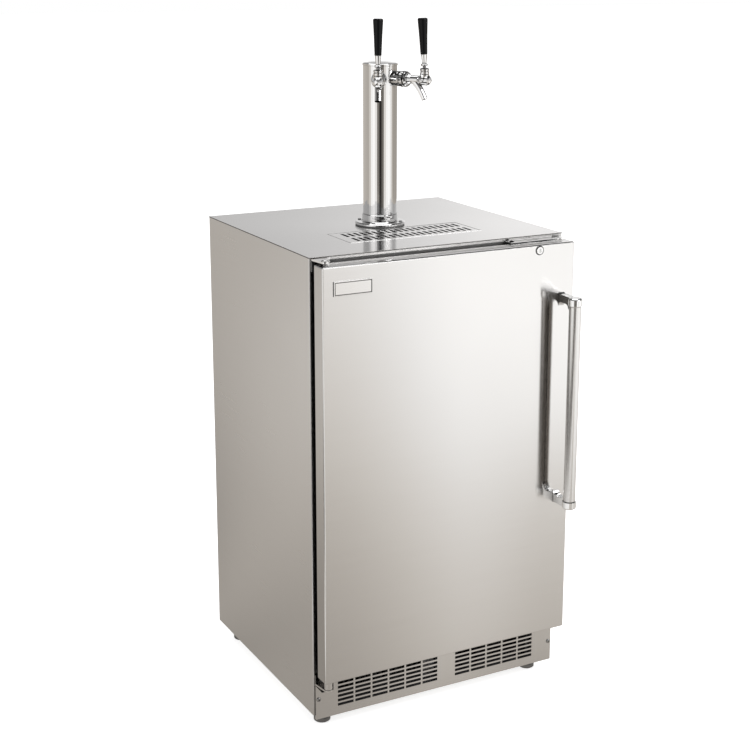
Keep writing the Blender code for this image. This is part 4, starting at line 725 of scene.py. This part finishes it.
def lock_face():
    """A thin black block as painted shade for the keyhole's slot, and the rubber seal between the
    lock and the door, whose dark ring also paints the shade at the lock's edge.
    """
    low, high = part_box("lock_barrel")
    x, z = (low[0] + high[0]) / 2, (low[2] + high[2]) / 2
    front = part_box("lock_plug")[0][1]
    half_wide, half_thick, half_tall = 0.0004, 0.0002, 0.0022
    shape = bmesh.new()
    add_block(
        shape,
        (x - half_wide, front - half_thick, z - half_tall),
        (x + half_wide, front + half_thick, z + half_tall),
    )
    # Painted shade: a thin black block where the keyhole's slot is.
    finished("key_slot", shape, BLACK, "door_lock", smooth=False)
    # The seal is a rubber part whose dark ring also paints the shade at the lock's edge.
    radius = (high[0] - low[0]) / 2
    profile = (
        (radius, 0), (radius + 0.0016, 0), (radius + 0.0014, 0.0005), (radius, 0.0006),
        (radius, 0),
    )
    outward = Matrix.Rotation(math.radians(90), 4, "X")
    shape = bmesh.new()
    add_turned(shape, profile, 32, Matrix.Translation((x, DOOR_FACE, z)) @ outward)
    finished("lock_seal", shape, RUBBER, "door")


def coil_end_plate():
    """The zinc end plate of the condenser, seen behind the kick panel's slots."""
    low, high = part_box("condenser_coil")
    overlap, thick, right = 0.003, 0.0020, 0.008
    shape = bmesh.new()
    add_block(
        shape, (high[0] - overlap, low[1] - thick, low[2]), (right, low[1], high[2]),
    )
    finished("coil_end_plate", shape, ZINC, "cabinet", smooth=False)


bare_plate()
tray_rim()
lock_face()
coil_end_plate()
strike_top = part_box("lock_strike")[1][2]
strike_places = [(STRIKE_SCREW + (strike_top,), (0, 0, 1))]
screws("strike_screw", strike_places, 0.0038, look=BLACK)


# Camera

VIEW_PLACE = (-1.3017, -2.4177, 1.3802)
VIEW_TURN = (76.864, -0.334, -29.026)
VIEW_LENS = 71.83
VIEW_SHIFT = (-0.0519, -0.1001)


def add_camera():
    """The main view, from the front left and a little above the top."""
    data = bpy.data.cameras.new("view")
    data.sensor_width = 36.0
    data.lens = VIEW_LENS
    data.shift_x, data.shift_y = VIEW_SHIFT
    data.clip_end = 100
    camera = linked("view", data)
    camera.location = VIEW_PLACE
    camera.rotation_euler = Euler([math.radians(angle) for angle in VIEW_TURN])
    bpy.context.scene.camera = camera


add_camera()


# Light: a soft studio seen mostly in reflection, a plain pale floor, and two large lamps

# Levels by azimuth in degrees, seen far off (by the tower), above the horizon (by the top)
# and on the floor behind and in front of the cabinet (by its side and its door)
FAR_LEVELS = (
    (-180, 0.92), (-176, 1.0), (-168, 1.1), (-153, 1.1), (-147, 0.98), (-139, 0.52), (-132, 0.24),
    (-125, 0.07), (-118, 0.02), (-111, 0.03), (-104, 0.08), (-97, 0.20), (-90, 0.58), (-83, 0.82),
    (-75, 0.96), (-68, 1.08), (-52, 1.1), (-44, 1.02), (-35, 0.82), (-25, 0.48), (-14, 0.33),
    (12, 0.38), (33, 0.32), (70, 0.45), (90, 0.53), (125, 0.48), (158, 0.43), (167, 0.53),
    (175, 0.82), (180, 0.92),
)
SKY_LEVELS = (
    (-180, 0.92), (-168, 1.1), (-153, 1.1), (-147, 0.98), (-132, 0.24), (-118, 0.04), (-104, 0.08),
    (-90, 0.60), (-68, 0.95), (-44, 1.0), (-25, 0.60), (-14, 0.45), (30, 0.68), (50, 1.02),
    (57, 1.02), (60, 0.88), (64, 0.73), (67, 0.64), (72, 0.56), (90, 0.50), (158, 0.43),
    (167, 0.53), (180, 0.92),
)
BACK_LEVELS = (
    (-180, 0.67), (-90, 0.60), (0, 0.45), (60, 0.35), (105, 0.29), (112, 0.31), (114, 0.33),
    (116, 0.37), (118, 0.46), (121, 0.565), (124, 0.625), (128, 0.67), (134, 0.65), (145, 0.62),
    (180, 0.67),
)
FRONT_LEVELS = (
    (-180, 0.90), (-108, 0.90), (-101, 0.25), (-96, 0.03), (-88, 0.03), (-84, 0.20), (-80, 0.85),
    (-76, 1.0), (-71, 0.95), (-69, 0.62), (-66, 0.61), (-65, 0.64), (-64.2, 0.67), (-62.9, 0.73),
    (-61.2, 0.86), (-60, 0.97), (-59, 1.03), (-56, 1.04), (-45, 1.02), (-20, 0.9), (180, 0.60),
)
# Levels by distance in metres from the cabinet's middle
REACH_LEVELS = (
    (0.0, 0.42), (0.25, 0.51), (0.53, 0.60), (0.84, 0.68), (1.21, 0.77), (1.69, 0.94),
    (2.28, 1.07), (3.06, 1.16), (3.93, 1.20), (5.0, 1.20),
)
# The brightest level that a colour ramp has to hold
HEADROOM = 1.25
# How strongly the white world lights the pieces
AMBIENT = 0.66
# How far the floor is lifted towards white where the view sees it
FLOOR_LIFT = 0.74
# The view's place, mirrored in the door's face and brought down to the floor
MIRRORED_VIEW = (-1.30, 1.97, 0.0)


def stops(tree, value, low, high, levels):
    """A curve through (place, level) pairs, for a value between low and high."""
    span = {"Value": value, "From Min": low, "From Max": high, "To Min": 0.0, "To Max": 1.0}
    share = add(tree, "ShaderNodeMapRange", span).outputs[0]
    node = add(tree, "ShaderNodeValToRGB", {"Fac": share})
    elements = node.color_ramp.elements
    while len(elements) < len(levels):
        elements.new(1.0)
    for element, (place, level) in zip(elements, levels):
        element.position = (place - low) / (high - low)
        element.color = (level / HEADROOM, level / HEADROOM, level / HEADROOM, 1)
    return math_node(tree, "MULTIPLY", node.outputs[0], HEADROOM)


def by_azimuth(tree, azimuth, levels):
    return stops(tree, azimuth, -180, 180, levels)


def azimuth_of(tree, way):
    """The direction seen from above, in degrees from +X."""
    parts = add(tree, "ShaderNodeSeparateXYZ", {0: way})
    angle = math_node(tree, "ARCTAN2", parts.outputs[1], parts.outputs[0])
    return math_node(tree, "MULTIPLY", angle, 180 / math.pi)


def mix_value(tree, factor, first, second):
    node = add(tree, "ShaderNodeMix", {0: factor, 2: first, 3: second}, data_type="FLOAT")
    return node.outputs[0]


def mix_shader(tree, factor, first, second):
    return add(tree, "ShaderNodeMixShader", {0: factor, 1: first, 2: second}).outputs[0]


def tint_of(tree, level):
    """The studio's dim parts are a little warmer than its bright ones."""
    brightness = ramp(tree, level, 0.35, 1.1, 0.0, 1.0)
    return mix_colour(tree, brightness, (1.085, 1.0, 0.90, 1), (1.01, 1.0, 0.985, 1))


def sky_group():
    """What the world shows in the steel: a band of walls under a dim ceiling."""
    tree, given, result = shader_group(
        "studio_sky", [("Way", "NodeSocketVector", (0, 0, 0))], [("Level", "NodeSocketFloat")],
    )
    way = given.outputs["Way"]
    height = add(tree, "ShaderNodeSeparateXYZ", {0: way}).outputs[2]
    walls = by_azimuth(tree, azimuth_of(tree, way), SKY_LEVELS)
    walls = math_node(tree, "MULTIPLY", walls, ramp(tree, height, 0.14, 0.24, 1.0, 0.86))
    ceiling = ramp(tree, height, 0.40, 0.75, 0.26, 0.04)
    total = mix_value(tree, ramp(tree, height, 0.27, 0.40, 0.0, 1.0), walls, ceiling)
    tree.links.new(total, result.inputs["Level"])
    return tree


def floor_group():
    """What the floor shows in the steel: levels behind the cabinet, before it and far off."""
    tree, given, result = shader_group(
        "studio_floor", [("Place", "NodeSocketVector", (0, 0, 0))],
        [("Level", "NodeSocketFloat"), ("Tint", "NodeSocketColor")],
    )
    place = given.outputs["Place"]
    reach = add(tree, "ShaderNodeVectorMath", {0: place}, operation="LENGTH").outputs["Value"]
    by_reach = stops(tree, reach, 0, 5, REACH_LEVELS)
    azimuth = azimuth_of(tree, place)
    from_view = add(tree, "ShaderNodeVectorMath", {0: place, 1: MIRRORED_VIEW},
                    operation="SUBTRACT").outputs[0]
    mirror_azimuth = azimuth_of(tree, from_view)

    front = by_azimuth(tree, mirror_azimuth, FRONT_LEVELS)
    corner = math_node(tree, "MULTIPLY", ramp(tree, mirror_azimuth, -58.5, -55.0, 0.0, 0.16),
                       ramp(tree, reach, 1.3, 2.2, 1.0, 0.0))
    front = math_node(tree, "MULTIPLY", front, math_node(tree, "SUBTRACT", 1.0, corner))
    aside = ramp(tree, mirror_azimuth, -72.0, -69.0, 1.0, 0.0)
    front = math_node(tree, "MULTIPLY", front, math_node(tree, "MAXIMUM", aside, by_reach))

    rising = ramp(tree, reach, 0.9, 3.3, 0.96, 1.075)
    rising = math_node(tree, "MULTIPLY", by_reach, rising)
    back = math_node(tree, "MULTIPLY", by_azimuth(tree, azimuth, BACK_LEVELS), rising)

    depth = add(tree, "ShaderNodeSeparateXYZ", {0: place}).outputs[1]
    near = mix_value(tree, ramp(tree, depth, -0.35, 0.25, 0.0, 1.0), front, back)
    far = by_azimuth(tree, azimuth, FAR_LEVELS)
    total = mix_value(tree, ramp(tree, reach, 4.4, 5.8, 0.0, 1.0), near, far)
    tree.links.new(total, result.inputs["Level"])
    tree.links.new(tint_of(tree, total), result.inputs["Tint"])
    return tree


def studio_world():
    """A white world to the view, a dimmer one as light, and the studio in reflections."""
    world = bpy.data.worlds.new("studio")
    bpy.context.scene.world = world
    world.use_nodes = True
    tree = world.node_tree
    tree.nodes.clear()
    way = add(tree, "ShaderNodeTexCoord").outputs["Generated"]
    level = use_group(tree, sky_group(), {"Way": way}).outputs["Level"]
    values = {"Color": (1.0, 0.99, 0.985, 1), "Strength": level}
    studio = add(tree, "ShaderNodeBackground", values).outputs[0]
    ray = add(tree, "ShaderNodeLightPath")
    lift = math_node(tree, "MULTIPLY", ray.outputs["Is Camera Ray"], 1 - AMBIENT)
    values = {"Color": (1, 1, 1, 1), "Strength": math_node(tree, "ADD", lift, AMBIENT)}
    plain = add(tree, "ShaderNodeBackground", values).outputs[0]
    mixed = mix_shader(tree, ray.outputs["Is Glossy Ray"], plain, studio)
    out = add(tree, "ShaderNodeOutputWorld")
    tree.links.new(mixed, out.inputs["Surface"])


def pale_floor():
    """A matt floor that takes the shadow, and shows the studio's levels in reflections."""
    shape = bmesh.new()
    bmesh.ops.create_grid(shape, x_segments=1, y_segments=1, size=30)
    floor = linked("floor", plain_mesh("floor", shape))
    made, tree, shader = new_material("pale_floor")
    shader.inputs["Base Color"].default_value = (0.84, 0.84, 0.84, 1)
    shader.inputs["Roughness"].default_value = 0.9
    shader.inputs["Specular IOR Level"].default_value = 0.1
    ray = add(tree, "ShaderNodeLightPath")
    lift = math_node(tree, "MULTIPLY", ray.outputs["Is Camera Ray"], FLOOR_LIFT)
    shader.inputs["Emission Color"].default_value = (1, 1, 1, 1)
    tree.links.new(lift, shader.inputs["Emission Strength"])
    shown = use_group(tree, floor_group(), {"Place": object_place(tree)})
    values = {"Color": shown.outputs["Tint"], "Strength": shown.outputs["Level"]}
    mirrored = add(tree, "ShaderNodeEmission", values).outputs[0]
    mixed = mix_shader(tree, ray.outputs["Is Glossy Ray"], shader.outputs[0], mirrored)
    tree.links.new(mixed, tree.nodes["Material Output"].inputs["Surface"])
    floor.data.materials.append(made)


def lamp(name, place, target, size, power):
    """A large area lamp, turned to its target."""
    data = bpy.data.lights.new(name, "AREA")
    data.shape = "RECTANGLE"
    data.size, data.size_y = size
    data.energy = power
    made = linked(name, data)
    made.location = place
    made.rotation_euler = (Vector(target) - Vector(place)).to_track_quat("-Z", "Y").to_euler()


studio_world()
pale_floor()
lamp("key", (1.6, -2.4, 2.6), (0, 0, 0.6), (1.6, 1.6), 40)
lamp("overhead", (0.0, 0.2, 3.4), (0, 0, 0.5), (2.4, 2.4), 30)

scene = bpy.context.scene
scene.view_settings.view_transform = "Standard"

bpy.data.objects.remove(HEAD, do_unlink=True)
